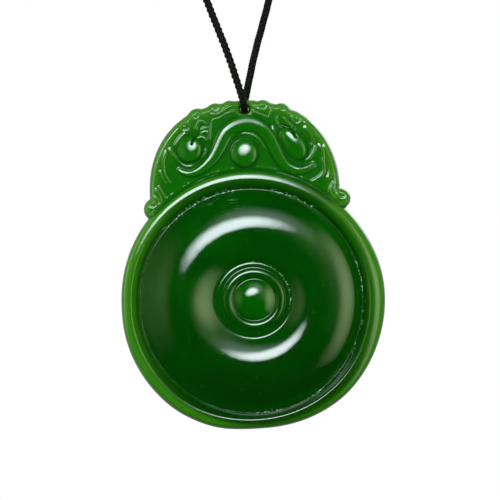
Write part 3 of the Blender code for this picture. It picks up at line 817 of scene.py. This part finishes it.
def carving(across, up):
    """How far the carving stands above the crest's plain face."""
    relief = np.zeros(across.shape)
    for dome in DOMES.values():
        relief = blend_max(relief, dome_height(dome, across, up), DOME_BLEND)
    for line in LINES.values():
        raise_ridge(relief, across, up, line["route"], line["half"], line["rise"])
    raise_ribbon(relief, across, up)
    raise_ridge(relief, across, up, arch_route, ARCH["half"], ARCH["rise"])
    for coil in COILS.values():
        distance = np.hypot(across - coil["at"][0], up - coil["at"][1])
        relief = blend_max(relief, crown(np.abs(distance - coil["ring"]), coil["half"], coil["rise"]), FOOT_BLEND)
        relief = blend_max(relief, crown(distance, coil["dot"], coil["rise"]), FOOT_BLEND)
    for crease in CREASES.values():
        near, distance, along = near_line(across, up, crease["route"], crease["half"])
        cut = crown(distance, crease["half"], crease["depth"]) * end_taper(along, CREASE_END)
        relief[near] = np.maximum(relief[near] - cut, DEEPEST_CUT)
    return relief


pearl_height = carving(*(np.array([place]) for place in DOMES["pearl"]["at"]))
print("pearl rises", round(float(pearl_height[0]), 2), "mm over the plain face")

# %% [markdown]
# ## Disc and crest in one face
# The disc and the crest are cut from one stone, and the higher of the two shows. A shallow groove marks the joint
# between them. The crest's edge is rounded off, and the stone sinks a little round the bore, where the cord rubs.

# %% Height of the whole face
JOINT = {"at": 21.28, "half": 0.3, "depth": 0.14, "blend": 0.04}
BORE_LIP = {"radius": 1.1, "squareness": 6, "depth": 0.12}
CREST_FROM = 20.3


def rounded(distance, rounding):
    """From 0 at an edge to 1 at the end of its rounding, along a quarter of a circle."""
    share = np.clip(distance / rounding, 0.0, 1.0)
    return np.sqrt(1.0 - (1.0 - share) ** 2)


def front_height(across, up):
    """Height of the whole face of the stone over its middle plane."""
    radius = np.hypot(across, up)
    turn = np.arctan2(across, up)
    on_section = radius + off_round(radius, turn)
    disc = np.where(on_section < DISC_RADIUS, disc_height(on_section, np.cos(turn)), OUTSIDE)
    depth = crest_depth(across, up)
    face = rounded(depth, CREST["rounding"])
    joint = JOINT["depth"] * fading(on_section - JOINT["at"], JOINT["half"])
    from_bore = np.hypot(across, up - BORE_HEIGHT)
    lip = BORE_LIP["depth"] * fading(from_bore, BORE_LIP["radius"], BORE_LIP["squareness"])
    plain = CREST["front"] - CREST["lean"] * (up - DISC_RADIUS)
    crest = plain * face + carving(across, up) * face - joint * face - lip * face
    crest = np.where((on_section > CREST_FROM) & (depth > 0.0), crest, OUTSIDE)
    return np.maximum(blend_max(disc, crest, JOINT["blend"]), 0.0)


sample = front_height(np.array([0.0, -0.38, 11.0]), np.array([0.0, 24.3, 0.0]))
print("heights at the boss, the pearl and the swell:", np.round(sample, 2))

# %% [markdown]
# ## The stone as one fine mesh
# Seen from the middle of the disc, every ray leaves the stone only once. So rings and spokes about that middle can
# cover the whole face: round rings on the disc, and rings that follow the outline on the crest, where the spokes are
# close together. The rings lie close where the section bends and far apart where it is straight.

# %% Spokes and radii
CREST_SPAN = math.radians(54.0)
CREST_SPOKES = 480
OTHER_SPOKES = 160
OUTER_FROM = 17.0

crest_turns = np.linspace(-CREST_SPAN, CREST_SPAN, CREST_SPOKES)
other_turns = np.linspace(CREST_SPAN, 2 * math.pi - CREST_SPAN, OTHER_SPOKES + 2)[1:-1]
turns = np.concatenate([crest_turns, other_turns])
disc_edge = round_ring(DISC_RADIUS, turns)
reach = outline_radius(turns)
reach[CREST_SPOKES:] = disc_edge[CREST_SPOKES:]
reach[[0, CREST_SPOKES - 1]] = disc_edge[[0, CREST_SPOKES - 1]]


def spread(start, end, count):
    """Even steps after the start, up to and with the end."""
    return list(np.linspace(start, end, count + 1)[1:])


inner_radii = spread(0.0, 3.28, 8) + spread(3.28, 3.66, 9) + spread(3.66, 5.22, 12)
inner_radii += [5.25, 5.27, 5.29, 5.4, 5.7, 5.9] + spread(5.9, 6.56, 11) + spread(6.56, 11.0, 9)
inner_radii += spread(11.0, OUTER_FROM, 12)
outer_radii = spread(OUTER_FROM, 18.2, 3) + spread(18.2, 18.6, 5) + spread(18.6, 19.5, 3)
outer_radii += spread(19.5, 20.1, 6) + spread(20.1, 21.0, 6)
outer_radii += [21.12, 21.2, 21.25, 21.3, 21.36, 21.42, 21.46, 21.485, 21.5]
print(len(turns), "spokes and", len(inner_radii) + len(outer_radii), "rings on the disc")

# %% Rings and the faces between them
places = []
faces = []
every = np.arange(len(turns))
halves = every[::2]
crest_every = every[:CREST_SPOKES]
middle = every[:1]


def ring(radius, spokes, side=1.0, height=None):
    """Adds one ring of places and gives back their numbers."""
    turn = turns[spokes]
    across, up = radius * np.sin(turn), radius * np.cos(turn)
    if height is None:
        height = front_height(across, up)
    start = sum(len(rows) for rows in places)
    places.append(np.column_stack([across, np.full(len(spokes), -side * height), up]))
    return np.arange(start, start + len(spokes))


def skin(first, second, closed=True):
    """Joins two rings of the same size by quads and gives back the second."""
    last = len(first) if closed else len(first) - 1
    for i in range(last):
        j = (i + 1) % len(first)
        faces.append((first[i], first[j], second[j], second[i]))
    return second


def skin_to_double(first, second):
    """Joins a ring to the next one, which has twice as many places, and gives back that one."""
    for i in range(len(first)):
        j = (i + 1) % len(first)
        between, end = second[2 * i + 1], second[(2 * i + 2) % len(second)]
        faces.append((first[i], between, second[2 * i]))
        faces.append((first[i], first[j], between))
        faces.append((first[j], end, between))
    return second


def fan(hub, rim):
    """Joins the one place in the middle to the ring round it and gives back the ring."""
    for i in range(len(rim)):
        faces.append((hub[0], rim[(i + 1) % len(rim)], rim[i]))
    return rim


print("every ring has", len(every), "or", len(halves), "places")

# %% Rings of the disc
last_ring = fan(ring(0.0, middle), ring(round_ring(inner_radii[0], turns[halves]), halves))
for radius in inner_radii[1:]:
    last_ring = skin(last_ring, ring(round_ring(radius, turns[halves]), halves))
last_ring = skin_to_double(last_ring, ring(round_ring(outer_radii[0], turns), every))
for radius in outer_radii[1:]:
    last_ring = skin(last_ring, ring(round_ring(radius, turns), every))
print("disc face:", len(faces), "faces")

# %% Rings of the crest
CREST_RINGS = 96
EDGE_RINGS = 14
EDGE_INSET = {"widest": 0.9, "share": 0.4}

edge_loop = last_ring.copy()
room = (reach - disc_edge)[:CREST_SPOKES]
inset = np.minimum(EDGE_INSET["widest"], EDGE_INSET["share"] * room)
strip = last_ring[:CREST_SPOKES]
for share in spread(0.0, 1.0, CREST_RINGS):
    strip = skin(strip, ring(disc_edge[:CREST_SPOKES] + share * (room - inset), crest_every), closed=False)
for angle in np.radians(spread(90.0, 0.0, EDGE_RINGS)):
    strip = skin(strip, ring(reach[:CREST_SPOKES] - inset * (1.0 - np.cos(angle)), crest_every), closed=False)
places[-1][:, 1] = 0.0
edge_loop[:CREST_SPOKES] = strip
print("whole face:", len(faces), "faces")

# %% [markdown]
# ## Plain back
# The picture doesn't show the back, so it is the plain kind: flat and polished, to lie well against the chest. Few
# rings are enough for it, close together where it rounds off towards the edge and far apart where it is flat. Every
# second spoke ends on the way.

# %% Rings of the back
BACK = {"disc": 2.4, "disc_rounding": 1.7, "crest": 1.9, "crest_rounding": 1.3, "crest_above": 0.05}
BACK_STEP = 0.02
BACK_ROUND_RINGS, BACK_CREST_RINGS, BACK_EDGE_RINGS = 8, 5, 6
BACK_DISC_RADIUS = 21.2
BACK_FLAT_RADIUS = 19.5
FLAT_RADII = (15.0, 10.0, 5.0)


def back_ring(radius, from_edge, spokes):
    """Adds a ring of the back. It is deeper behind the disc, and rounded off at the disc's and the crest's edge."""
    disc = BACK["disc"] * rounded(disc_edge[spokes] - radius, BACK["disc_rounding"])
    crest = BACK["crest"] * rounded(from_edge, BACK["crest_rounding"])
    on_crest = reach[spokes] > disc_edge[spokes] + BACK["crest_above"]
    return ring(radius, spokes, -1.0, np.where(on_crest, np.maximum(disc, crest), disc))


last_ring = edge_loop
for angle in np.radians(spread(0.0, 90.0, BACK_ROUND_RINGS)):
    from_edge = BACK["disc_rounding"] * (1.0 - np.cos(angle))
    last_ring = skin(last_ring, back_ring(reach - from_edge, from_edge, every))
start_radius = reach[halves] - BACK["disc_rounding"]
half_ring = back_ring(start_radius - BACK_STEP, BACK["disc_rounding"] + BACK_STEP, halves)
skin_to_double(half_ring, last_ring)
last_ring = half_ring
for share in spread(0.0, 1.0, BACK_CREST_RINGS):
    radius = start_radius - BACK_STEP - share * (start_radius - np.minimum(start_radius, BACK_DISC_RADIUS))
    radius -= BACK_STEP * share
    last_ring = skin(last_ring, back_ring(radius, reach[halves] - radius, halves))
for share in spread(0.0, 1.0, BACK_EDGE_RINGS):
    next_radius = radius + share * (BACK_FLAT_RADIUS - radius)
    last_ring = skin(last_ring, back_ring(next_radius, reach[halves] - next_radius, halves))
for flat_radius in FLAT_RADII:
    last_ring = skin(last_ring, ring(flat_radius, halves, -1.0, BACK["disc"]))
fan(ring(0.0, middle, -1.0, BACK["disc"]), last_ring)
print("face and back:", len(faces), "faces")

# %% [markdown]
# ## One closed stone with its bore
# Rings that end in the same place are welded, so that the mesh is closed and has an inside. A drill then takes the
# bore out of it, as a Boolean modifier with an exact solver. Edges sharper than 60 degrees stay sharp.

# %% Close the mesh
WELD = 2e-7

stone_places = np.vstack(places) * MM + np.array(disc_middle)
stone_mesh = bpy.data.meshes.new("stone_blank")
stone_mesh.from_pydata(stone_places.tolist(), [], [tuple(int(i) for i in face) for face in faces])
work = bmesh.new()
work.from_mesh(stone_mesh)
bmesh.ops.remove_doubles(work, verts=work.verts, dist=WELD)
bmesh.ops.recalc_face_normals(work, faces=work.faces)
open_edges = sum(1 for edge in work.edges if not edge.is_manifold)
work.to_mesh(stone_mesh)
work.free()
print("stone blank:", len(stone_mesh.polygons), "faces,", open_edges, "open edges")

# %% Cut the bore
BORE_RADIUS = 0.70
BORE_LENGTH = 14.0
BORE_SIDES = 48
SHARP_FROM = math.radians(60.0)


def evaluated_mesh(thing):
    """The object's mesh with its modifiers applied."""
    bpy.context.view_layer.update()
    graph = bpy.context.evaluated_depsgraph_get()
    return bpy.data.meshes.new_from_object(thing.evaluated_get(graph))


def triangles(mesh):
    """How many triangles the mesh has."""
    return sum(len(face.vertices) - 2 for face in mesh.polygons)


work = bmesh.new()
lay = Matrix.Translation(bore_middle) @ Matrix.Rotation(math.radians(90.0), 4, "X")
drill_size = {"radius1": BORE_RADIUS * MM, "radius2": BORE_RADIUS * MM, "depth": BORE_LENGTH * MM}
bmesh.ops.create_cone(work, cap_ends=True, segments=BORE_SIDES, matrix=lay, **drill_size)
drill_mesh = bpy.data.meshes.new("bore")
work.to_mesh(drill_mesh)
work.free()
drill = into_scene("bore", drill_mesh)
blank = into_scene("stone_blank", stone_mesh)
cut = blank.modifiers.new("bore", "BOOLEAN")
cut.operation = "DIFFERENCE"
cut.solver = "EXACT"
cut.object = drill
pendant_mesh = evaluated_mesh(blank)
pendant_mesh.name = "carved_jade"
bpy.data.objects.remove(blank)
bpy.data.objects.remove(drill)
pendant_mesh.shade_smooth()
pendant_mesh.set_sharp_from_angle(angle=SHARP_FROM)
print("carved stone:", triangles(pendant_mesh), "triangles")

# %% [markdown]
# ## Thin, hollow and raised places
# Light passes through the thin edge of the stone, so it looks paler and yellower there, and that light is painted
# into its colour. The bottoms of the carving get painted shade, and its ridges painted light. All this is measured on
# the mesh and kept as attributes, which the finish reads. A place is hollow or raised if it lies below or above the
# average of the places round it.

# %% Measure the relief
SMOOTHING_ROUNDS = 30
RELIEF_DEPTH = 0.08
FACE_FROM = 0.5

coordinates = np.empty(len(pendant_mesh.vertices) * 3, dtype=np.float32)
pendant_mesh.vertices.foreach_get("co", coordinates)
coordinates = (coordinates.reshape(-1, 3).astype(float) - np.array(disc_middle)) / MM
across, up, height = coordinates[:, 0], coordinates[:, 2], -coordinates[:, 1]
radius = np.hypot(across, up)
turn = np.arctan2(across, up)
depth = np.clip(np.maximum(crest_depth(across, up), round_ring(DISC_RADIUS, turn) - radius), 0.0, None)

pairs = np.empty(len(pendant_mesh.edges) * 2, dtype=np.int32)
pendant_mesh.edges.foreach_get("vertices", pairs)
pairs = pairs.reshape(-1, 2)
count = np.bincount(pairs.ravel(), minlength=len(across)) + 1.0
level = height.copy()
for _ in range(SMOOTHING_ROUNDS):
    total = level.copy()
    for here, there in ((0, 1), (1, 0)):
        total += np.bincount(pairs[:, here], weights=level[pairs[:, there]], minlength=len(across))
    level = total / count
on_face = (height > FACE_FROM).astype(float)
hollow = on_face * np.clip((level - height) / RELIEF_DEPTH, 0.0, 1.0)
raised = on_face * np.clip((height - level) / RELIEF_DEPTH, 0.0, 1.0)
print("hollow places:", int((hollow > 0.5).sum()), "raised places:", int((raised > 0.5).sum()))

# %% Mark the parts
THIN_WIDTH, EDGE_WIDTH = 1.5, 0.5
BROAD = {"takes_away": 0.85, "dome_from": 0.95, "dome_slope": 0.15, "ribbon_from": 1.0, "ribbon_slope": 0.3}
CREST_PART = {"from": 20.6, "slope": 0.8}
RIM_FROM, RIM_SLOPE = 18.5, 1.0
BORE_PART = {"radius": 1.05, "squareness": 8}
GROOVE_LINE = {"beside": 0.03, "half": 0.16}
FINE_LINE = {"step": 6.2, "joint": 21.7, "half": 0.1, "joint_share": 0.7}


def step_up(value, start, slope):
    """0 up to the start, 1 from the end of the slope on, and smooth between."""
    share = np.clip((value - start) / slope, 0.0, 1.0)
    return share * share * (3.0 - 2.0 * share)


def broad_shapes(across, up):
    """Marks the domes and the ribbon with 1."""
    marked = np.zeros(across.shape)
    for dome in DOMES.values():
        from_middle = dome_axes(dome, across, up)[2]
        marked = np.maximum(marked, 1.0 - step_up(from_middle, BROAD["dome_from"], BROAD["dome_slope"]))
    near, distance, _ = near_line(across, up, RIBBON, RIBBON_SHAPE["reach"])
    on_ribbon = 1.0 - step_up(distance, BROAD["ribbon_from"], BROAD["ribbon_slope"])
    marked[near] = np.maximum(marked[near], on_ribbon)
    return marked


on_section = radius + off_round(radius, turn)
crest_part = np.clip((radius - CREST_PART["from"]) / CREST_PART["slope"], 0.0, 1.0)
groove = fading(on_section - GROOVE_RADIUS - GROOVE_LINE["beside"], GROOVE_LINE["half"])
joint = FINE_LINE["joint_share"] * crest_part * fading(on_section - FINE_LINE["joint"], FINE_LINE["half"])
from_bore = np.hypot(across, up - BORE_HEIGHT)
# thin and edge carry painted light through thin stone, hollow and bore painted shade, and ridge painted light
attributes = {
    "thin": fading(depth, THIN_WIDTH),
    "edge": fading(depth, EDGE_WIDTH),
    "hollow": hollow,
    "ridge": raised * (1.0 - BROAD["takes_away"] * broad_shapes(across, up)),
    "crest": crest_part,
    "groove": on_face * (groove + fading(on_section - FINE_LINE["step"], FINE_LINE["half"]) + joint),
    "bore": fading(from_bore, BORE_PART["radius"], BORE_PART["squareness"]),
    "rim": step_up(on_section, RIM_FROM, RIM_SLOPE) * (1.0 - crest_part),
}
for name, values in attributes.items():
    layer = pendant_mesh.attributes.new(name, "FLOAT", "POINT")
    layer.data.foreach_set("value", values.astype(np.float32))
    print(name, "marks", int((values > 0.5).sum()), "places")

# %% [markdown]
# ## Where the jade changes
# Nephrite is a deep green stone, cloudy over a centimetre or so. This one gets painted shade towards its bottom, as
# if lit from above, so it looks lighter towards its top. Its finish asks at every spot how far it lies to the right
# of the middle of the disc and above it, reads the marks on the mesh, and adds noise for what has no drawn place.
# Lengths in node trees are metres, and so a noise's scale is per metre.

# %% Places and marks
jade, tree = new_material("polished_jade")
place = tree.add("ShaderNodeTexCoord", output="Object")
right, behind, upward = (tree.add("ShaderNodeSeparateXYZ", None, {0: place}, output=axis) for axis in "XYZ")
above = upward - disc_middle.z
mark = {name: tree.add("ShaderNodeAttribute", {"attribute_name": name}, output="Fac") for name in attributes}


def noise_at(tree, scale, detail=2.0, stretch=None):
    """Noise over the piece, in features per metre, squeezed along each axis by its stretch if there is one."""
    place = tree.add("ShaderNodeTexCoord", output="Object")
    if stretch:
        place = tree.add("ShaderNodeMapping", None, {"Vector": place, "Scale": stretch})
    return tree.add("ShaderNodeTexNoise", None, {"Vector": place, "Scale": scale, "Detail": detail})


# lit is 1 at the top of the stone and 0 low down; it shapes the painted light and shade in the colours below
lit = above.within(-0.021, 0.004)
# where the rim's painted glow is strongest: mostly the left side, a little the right
rim_glow_side = (0.0 - right).within(0.007, 0.019) + 0.12 * right.within(0.007, 0.019)
on_front = (0.0 - behind).within(0.0, 0.001)
on_boss = (1.0 - (right * right + above * above).within(0.000008, 0.000013)) * on_front
print("jade reads", list(mark))

# %% [markdown]
# ## Nicks, glints and scratches
# A stone that has been worn shows small nicks in its grooves, a few short scratches, and hairlines across and up in
# its polish. The pale dots in the grooves are partly such nicks and partly painted glints, where the grooves catch
# the light. Each is a noise that shows only where it is strongest. The nicks and glints keep to the grooves, most of
# them on the right and at the top, and the scratches to the upper left flank of the swell.

# %% Nicks, glints, scratches and flecks
clouds = noise_at(tree, 110.0, 3.0)
flecks = noise_at(tree, 1500.0).within(0.66, 0.78)
hairlines = noise_at(tree, 700.0, 2.0, (1.0, 1.0, 9.0)).within(0.68, 0.8)
hairlines = hairlines + noise_at(tree, 800.0, 2.0, (7.0, 1.0, 1.5)).within(0.7, 0.8)
nick_and_glint_noise = noise_at(tree, 2000.0, 1.0).within(0.54, 0.62) * noise_at(tree, 260.0, 1.0).within(0.40, 0.56)
nick_and_glint_side = right.within(-0.006, 0.004) + above.within(0.008, 0.013) + 0.15
nicks_and_glints = mark["groove"] * nick_and_glint_noise * nick_and_glint_side.within(0.0, 1.0)
scratched = above.within(0.0135, 0.0155) * (1.0 - above.within(0.0165, 0.0185))
scratched = scratched * right.within(-0.0115, -0.009) * (1.0 - right.within(-0.003, 0.0))
scratches = noise_at(tree, 1500.0, 2.0, (0.35, 1.0, 2.6)).within(0.6, 0.68) * scratched
print("marks of wear ready, tree has", len(tree.node_tree.nodes), "nodes")

# %% [markdown]
# ## Colour of the jade
# The colour is built up like glazes. Each line of the table lays one colour over those before it, by a share that
# comes from a mark, a place or a noise. Light that has gone through thin stone is yellower and paler, and that light
# is painted into the colour of the crest, the rim and the edge, most of all where the stone is lit. Painted shade
# darkens the lower part, the hollows and the bore, painted light brightens the ridges, and the pale dots in the
# grooves are partly nicks and partly painted glints.

# %% Lay the colours
GLAZES = (
    # painted shade: the lower part of the stone darker, as if lit from above
    ((0.0001, 0.042, 0.0001), (1.0 - lit) * 0.9),
    # painted light: the thinner crest lighter green, for light that comes through it
    ((0.0045, 0.160, 0.0006), mark["crest"]),
    # painted light through the thin rim, where it is lit, most of all at the left side
    ((0.036, 0.230, 0.005), mark["rim"] * lit * (0.32 + 0.5 * rim_glow_side)),
    # painted light through the thin edge of the stone, stronger where it is lit
    ((0.070, 0.300, 0.008), mark["thin"] * (0.15 + 0.75 * lit)),
    # painted pale glow and sheen right at the edge, stronger where it is lit
    ((0.20, 0.44, 0.12), mark["edge"] * (0.1 + 0.45 * lit)),
    # painted shade in the hollows of the carving
    ((0.0005, 0.070, 0.0003), mark["hollow"] * 0.7),
    # painted light on the ridges of the carving; the domes and the ribbon get little of it
    ((0.060, 0.290, 0.012), mark["ridge"] * mark["crest"] * 0.7),
    ((0.0015, 0.135, 0.0005), on_boss * 0.7),
    ((0.05, 0.15, 0.03), flecks * 0.25),
    # pale dots in the grooves: partly nicks, partly painted glints
    ((0.48, 0.76, 0.54), nicks_and_glints * 0.9),
    ((0.12, 0.32, 0.13), scratches * 0.4),
    # painted shade in and round the bore
    ((0.0003, 0.002, 0.0003), mark["bore"]),
)
green = tree.mix_colours((0.0002, 0.066, 0.0001), (0.0008, 0.096, 0.0002), clouds.within(0.3, 0.75))
for colour, share in GLAZES:
    green = tree.mix_colours(green, colour, share)
print("colours laid over the green:", len(GLAZES))

# %% [markdown]
# ## Polish
# Polished nephrite is waxy: its shine is strong but a little uneven, and some light goes a short way into the stone,
# which subsurface scattering gives. The polishing wheel doesn't reach into the carving, so the hollows stay dull in
# patches. Two shaders do this, a polished and a dull one, mixed by where the wheel couldn't reach.

# %% Polish the jade
POLISH, HAIRLINE_DULLS, CLOUD_DULLS = 0.05, 0.12, 0.03
HAIRLINE_RELIEF = 0.12
DULL = {"Roughness": 0.6, "Specular IOR Level": 0.08}
UNDER_THE_SURFACE = {"Subsurface Weight": 0.25, "Subsurface Radius": (0.25, 1.0, 0.2), "Subsurface Scale": 0.0012}

roughness = POLISH + HAIRLINE_DULLS * hairlines + CLOUD_DULLS * clouds
patches = noise_at(tree, 330.0, 1.0).within(0.40, 0.50)
groove_gaps = mark["groove"] * noise_at(tree, 640.0).within(0.52, 0.62)
top_clouds = above.within(0.0285, 0.0300) * mark["crest"]
unreached = mark["hollow"] * mark["crest"] * (0.55 + 0.45 * patches) + 0.9 * groove_gaps
unreached = unreached + 0.7 * top_clouds + mark["bore"]
unevenness = noise_at(tree, 420.0, 1.0) + HAIRLINE_RELIEF * hairlines
bump = tree.add("ShaderNodeBump", None, {"Strength": 0.35, "Distance": 0.00004, "Height": unevenness})
in_both = {"Base Color": green, **UNDER_THE_SURFACE}
shine = {"Roughness": roughness, "IOR": 1.61, "Normal": bump}
polished = tree.add("ShaderNodeBsdfPrincipled", None, {**in_both, **shine})
dull = tree.add("ShaderNodeBsdfPrincipled", None, {**in_both, **DULL})
share = tree.add("ShaderNodeClamp", None, {"Value": unreached})
mixed = tree.add("ShaderNodeMixShader", None, {0: share, 1: polished, 2: dull})
tree.add("ShaderNodeOutputMaterial", None, {"Surface": mixed})

pendant = dressed("carved_jade", pendant_mesh, jade)
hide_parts("jade_pendant")
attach(pendant, "pendant")
print("jade on", pendant.name)

# %% [markdown]
# ## Braided cord
# The cord is a thin round braid: strands that wind to the left cross strands that wind to the right, over one and
# under the next. The braid follows a row of points, which lie close together near the stone, where the braid is seen.
# Every point knows how far along the cord it lies, because that sets how far the strands have wound there.

# %% Points of the cord
NEAR_SPACING = 0.14
FAR_SPACING = 0.38
NEAR_LENGTH = 45.0


def spaced_points(line):
    """Points along the line, close together near its middle, and how far each is from the middle."""
    lengths = np.linalg.norm(np.diff(line, axis=0), axis=1) / MM
    gone = np.concatenate([[0.0], np.cumsum(lengths)])
    gone -= 0.5 * gone[-1]
    stations = [gone[0]]
    while stations[-1] < gone[-1]:
        share = np.clip((abs(stations[-1]) - NEAR_LENGTH) / NEAR_LENGTH, 0.0, 1.0)
        stations.append(stations[-1] + NEAR_SPACING + share * (FAR_SPACING - NEAR_SPACING))
    stations[-1] = gone[-1]
    stations = np.array(stations)
    return np.column_stack([np.interp(stations, gone, line[:, i]) for i in range(3)]), stations * MM


cord_points, cord_gone = spaced_points(cord_line)
print("braid path:", len(cord_points), "points")

# %% [markdown]
# ## Tree of the braid
# A Geometry Nodes tree copies the route once for each strand, moves every copy out from the path onto its own helix,
# and sweeps a round thread along it. Half of the strands wind each way. A wave lifts each strand where it passes over
# another and lets it sink where it passes under. A plain core fills the middle. The sizes are inputs with names.

# %% Inputs of the braid
BRAID_INPUTS = {
    "Strands Each Way": ("NodeSocketInt", 4),
    "Braid Radius": ("NodeSocketFloat", 0.40 * MM),
    "Over And Under": ("NodeSocketFloat", 0.075 * MM),
    "Turn Length": ("NodeSocketFloat", 3.6 * MM),
    "Thread Radius": ("NodeSocketFloat", 0.2 * MM),
    "Core Radius": ("NodeSocketFloat", 0.42 * MM),
    "Thread Sides": ("NodeSocketInt", 5),
    "Material": ("NodeSocketMaterial", None),
}

braid_tree = bpy.data.node_groups.new("braid", "GeometryNodeTree")
tree = Tree(braid_tree)
braid_tree.interface.new_socket("Geometry", in_out="INPUT", socket_type="NodeSocketGeometry")
identifiers = {}
for name, (kind, value) in BRAID_INPUTS.items():
    socket = braid_tree.interface.new_socket(name, in_out="INPUT", socket_type=kind)
    identifiers[name] = socket.identifier
    if value is not None:
        socket.default_value = value
braid_tree.interface.new_socket("Geometry", in_out="OUTPUT", socket_type="NodeSocketGeometry")
group_in = braid_tree.nodes.new("NodeGroupInput")
given = {socket.name: Value(tree, socket) for socket in group_in.outputs if socket.name}
print("braid inputs:", identifiers)

# %% Strands on their helices
TWO_PI = 2 * math.pi


def vector_maths(operation, first, second):
    """A vector from two others."""
    return tree.add("ShaderNodeVectorMath", {"operation": operation}, {0: first, 1: second})


def times(vector, number):
    """A vector made longer or shorter."""
    return tree.add("ShaderNodeVectorMath", {"operation": "SCALE"}, {0: vector, "Scale": number})


def of_one(operation, value):
    """A number from one other, such as its cosine."""
    return tree.add("ShaderNodeMath", {"operation": operation}, {0: value})


path = tree.add("GeometryNodeMeshToCurve", None, {"Mesh": given["Geometry"]})
amount = given["Strands Each Way"] * 2.0
copies = tree.add("GeometryNodeDuplicateElements", {"domain": "SPLINE"}, {"Geometry": path, "Amount": amount})
number = Value(tree, copies.socket.node.outputs["Duplicate Index"])
way = of_one("FLOOR", number / given["Strands Each Way"]) * 2.0 - 1.0
gone = tree.add("GeometryNodeInputNamedAttribute", {"data_type": "FLOAT"}, {"Name": "gone"})
winding = gone / given["Turn Length"] * TWO_PI
angle = number / given["Strands Each Way"] * TWO_PI + way * winding
lift = way * of_one("COSINE", winding * given["Strands Each Way"]) * given["Over And Under"]
across_path = tree.add("GeometryNodeInputNormal")
beside_path = vector_maths("CROSS_PRODUCT", tree.add("GeometryNodeInputTangent"), across_path)
outward = vector_maths("ADD", times(across_path, of_one("COSINE", angle)), times(beside_path, of_one("SINE", angle)))
offset = times(outward, given["Braid Radius"] + lift)
moved = tree.add("GeometryNodeSetPosition", None, {"Geometry": copies, "Offset": offset})
print("strands placed by", len(braid_tree.nodes), "nodes")

# %% Threads and core
CORE_SIDES = 6


def swept(curve, sides, radius):
    """A round thread along a curve, closed at its ends."""
    profile = tree.add("GeometryNodeCurvePrimitiveCircle", None, {"Resolution": sides, "Radius": radius})
    return tree.add("GeometryNodeCurveToMesh", None, {"Curve": curve, "Profile Curve": profile, "Fill Caps": True})


core = swept(path, CORE_SIDES, given["Core Radius"])
threads = swept(moved, given["Thread Sides"], given["Thread Radius"])
join = braid_tree.nodes.new("GeometryNodeJoinGeometry")
for part in (core, threads):
    braid_tree.links.new(part.socket, join.inputs[0])
smooth = tree.add("GeometryNodeSetShadeSmooth", None, {"Geometry": Value(tree, join.outputs[0])})
real = tree.add("GeometryNodeRealizeInstances", None, {"Geometry": smooth})
done = tree.add("GeometryNodeSetMaterial", None, {"Geometry": real, "Material": given["Material"]})
group_out = braid_tree.nodes.new("NodeGroupOutput")
braid_tree.links.new(done.socket, group_out.inputs[0])
print("braid tree:", len(braid_tree.nodes), "nodes")

# %% [markdown]
# ## Black cord
# The cord is black and rather matt, of spun fibres that are all but too small to see. A fine noise makes the black
# uneven and gives the threads a faint relief, and a wider one makes some stretches more worn, so duller, than others.

# %% Finish of the cord
ROUGHNESS, WEAR = 0.5, 0.25

cord_black, tree = new_material("black_cord")
fibres = noise_at(tree, 6000.0)
cord_shader = tree.add("ShaderNodeBsdfPrincipled", None, {
    "Base Color": tree.mix_colours((0.002, 0.002, 0.002), (0.008, 0.008, 0.0075), fibres.within(0.35, 0.75)),
    "Roughness": ROUGHNESS + WEAR * noise_at(tree, 500.0),
    "Specular IOR Level": 0.25,
    "Normal": tree.add("ShaderNodeBump", None, {"Strength": 0.5, "Distance": 0.00003, "Height": fibres}),
})
tree.add("ShaderNodeOutputMaterial", None, {"Surface": cord_shader})
print("cord finish ready")

# %% [markdown]
# ## The cord itself
# The row of points becomes a mesh of single edges, which carries the distance gone as an attribute, and the tree
# turns it into the braid. The result is read back as a plain mesh, and the row is removed. The same function braids
# the knot afterwards.


# %% Braid the cord
def line_object(name, points, gone):
    """A mesh of one open row of edges that knows how far each point has gone."""
    mesh = bpy.data.meshes.new(name)
    mesh.from_pydata(points.tolist(), [(i, i + 1) for i in range(len(points) - 1)], [])
    layer = mesh.attributes.new("gone", "FLOAT", "POINT")
    layer.data.foreach_set("value", gone.astype(np.float32))
    return into_scene(name, mesh)


def braid(name, points, gone):
    """A plain mesh of the braid along the points."""
    line = line_object(name, points, gone)
    step = line.modifiers.new("braid", "NODES")
    step.node_group = braid_tree
    step[identifiers["Material"]] = cord_black
    mesh = evaluated_mesh(line)
    bpy.data.objects.remove(line)
    mesh.name = name
    return dressed(name, mesh, cord_black)


cord = braid("braided_cord", cord_points, cord_gone)
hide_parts("neck_cord")
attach(cord, "cord")
print("braided cord:", triangles(cord.data), "triangles")

# %% [markdown]
# ## Knot at the nape
# The two ends of the loop meet inside a barrel knot: the cord wound round itself in close turns. The photo hides it,
# so it is the plain kind. Its path is a helix between the ends, braided by the same tree.

# %% Wind the knot
KNOT_TURNS = 7
KNOT_POINTS = 520
KNOT_RADIUS = 1.7
KNOT_MARGIN = 0.03
CORD_RADIUS = 0.65

share = np.linspace(0.0, 1.0, KNOT_POINTS)
turn = 2 * math.pi * KNOT_TURNS * share
helix_radius = KNOT_RADIUS - CORD_RADIUS - KNOT_MARGIN
knot_across = (2 * share - 1.0) * (KNOT_HALF_LENGTH - CORD_RADIUS)
knot_up = KNOT_RADIUS + helix_radius * np.sin(turn)
knot_points = np.column_stack([knot_across, helix_radius * np.cos(turn), knot_up]) * MM
knot_lengths = np.linalg.norm(np.diff(knot_points, axis=0), axis=1)
knot_gone = np.concatenate([[0.0], np.cumsum(knot_lengths)])
knot = braid("barrel_knot", knot_points, knot_gone)
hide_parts("neck_knot")
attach(knot, "cord")
print("knot:", triangles(knot.data), "triangles")
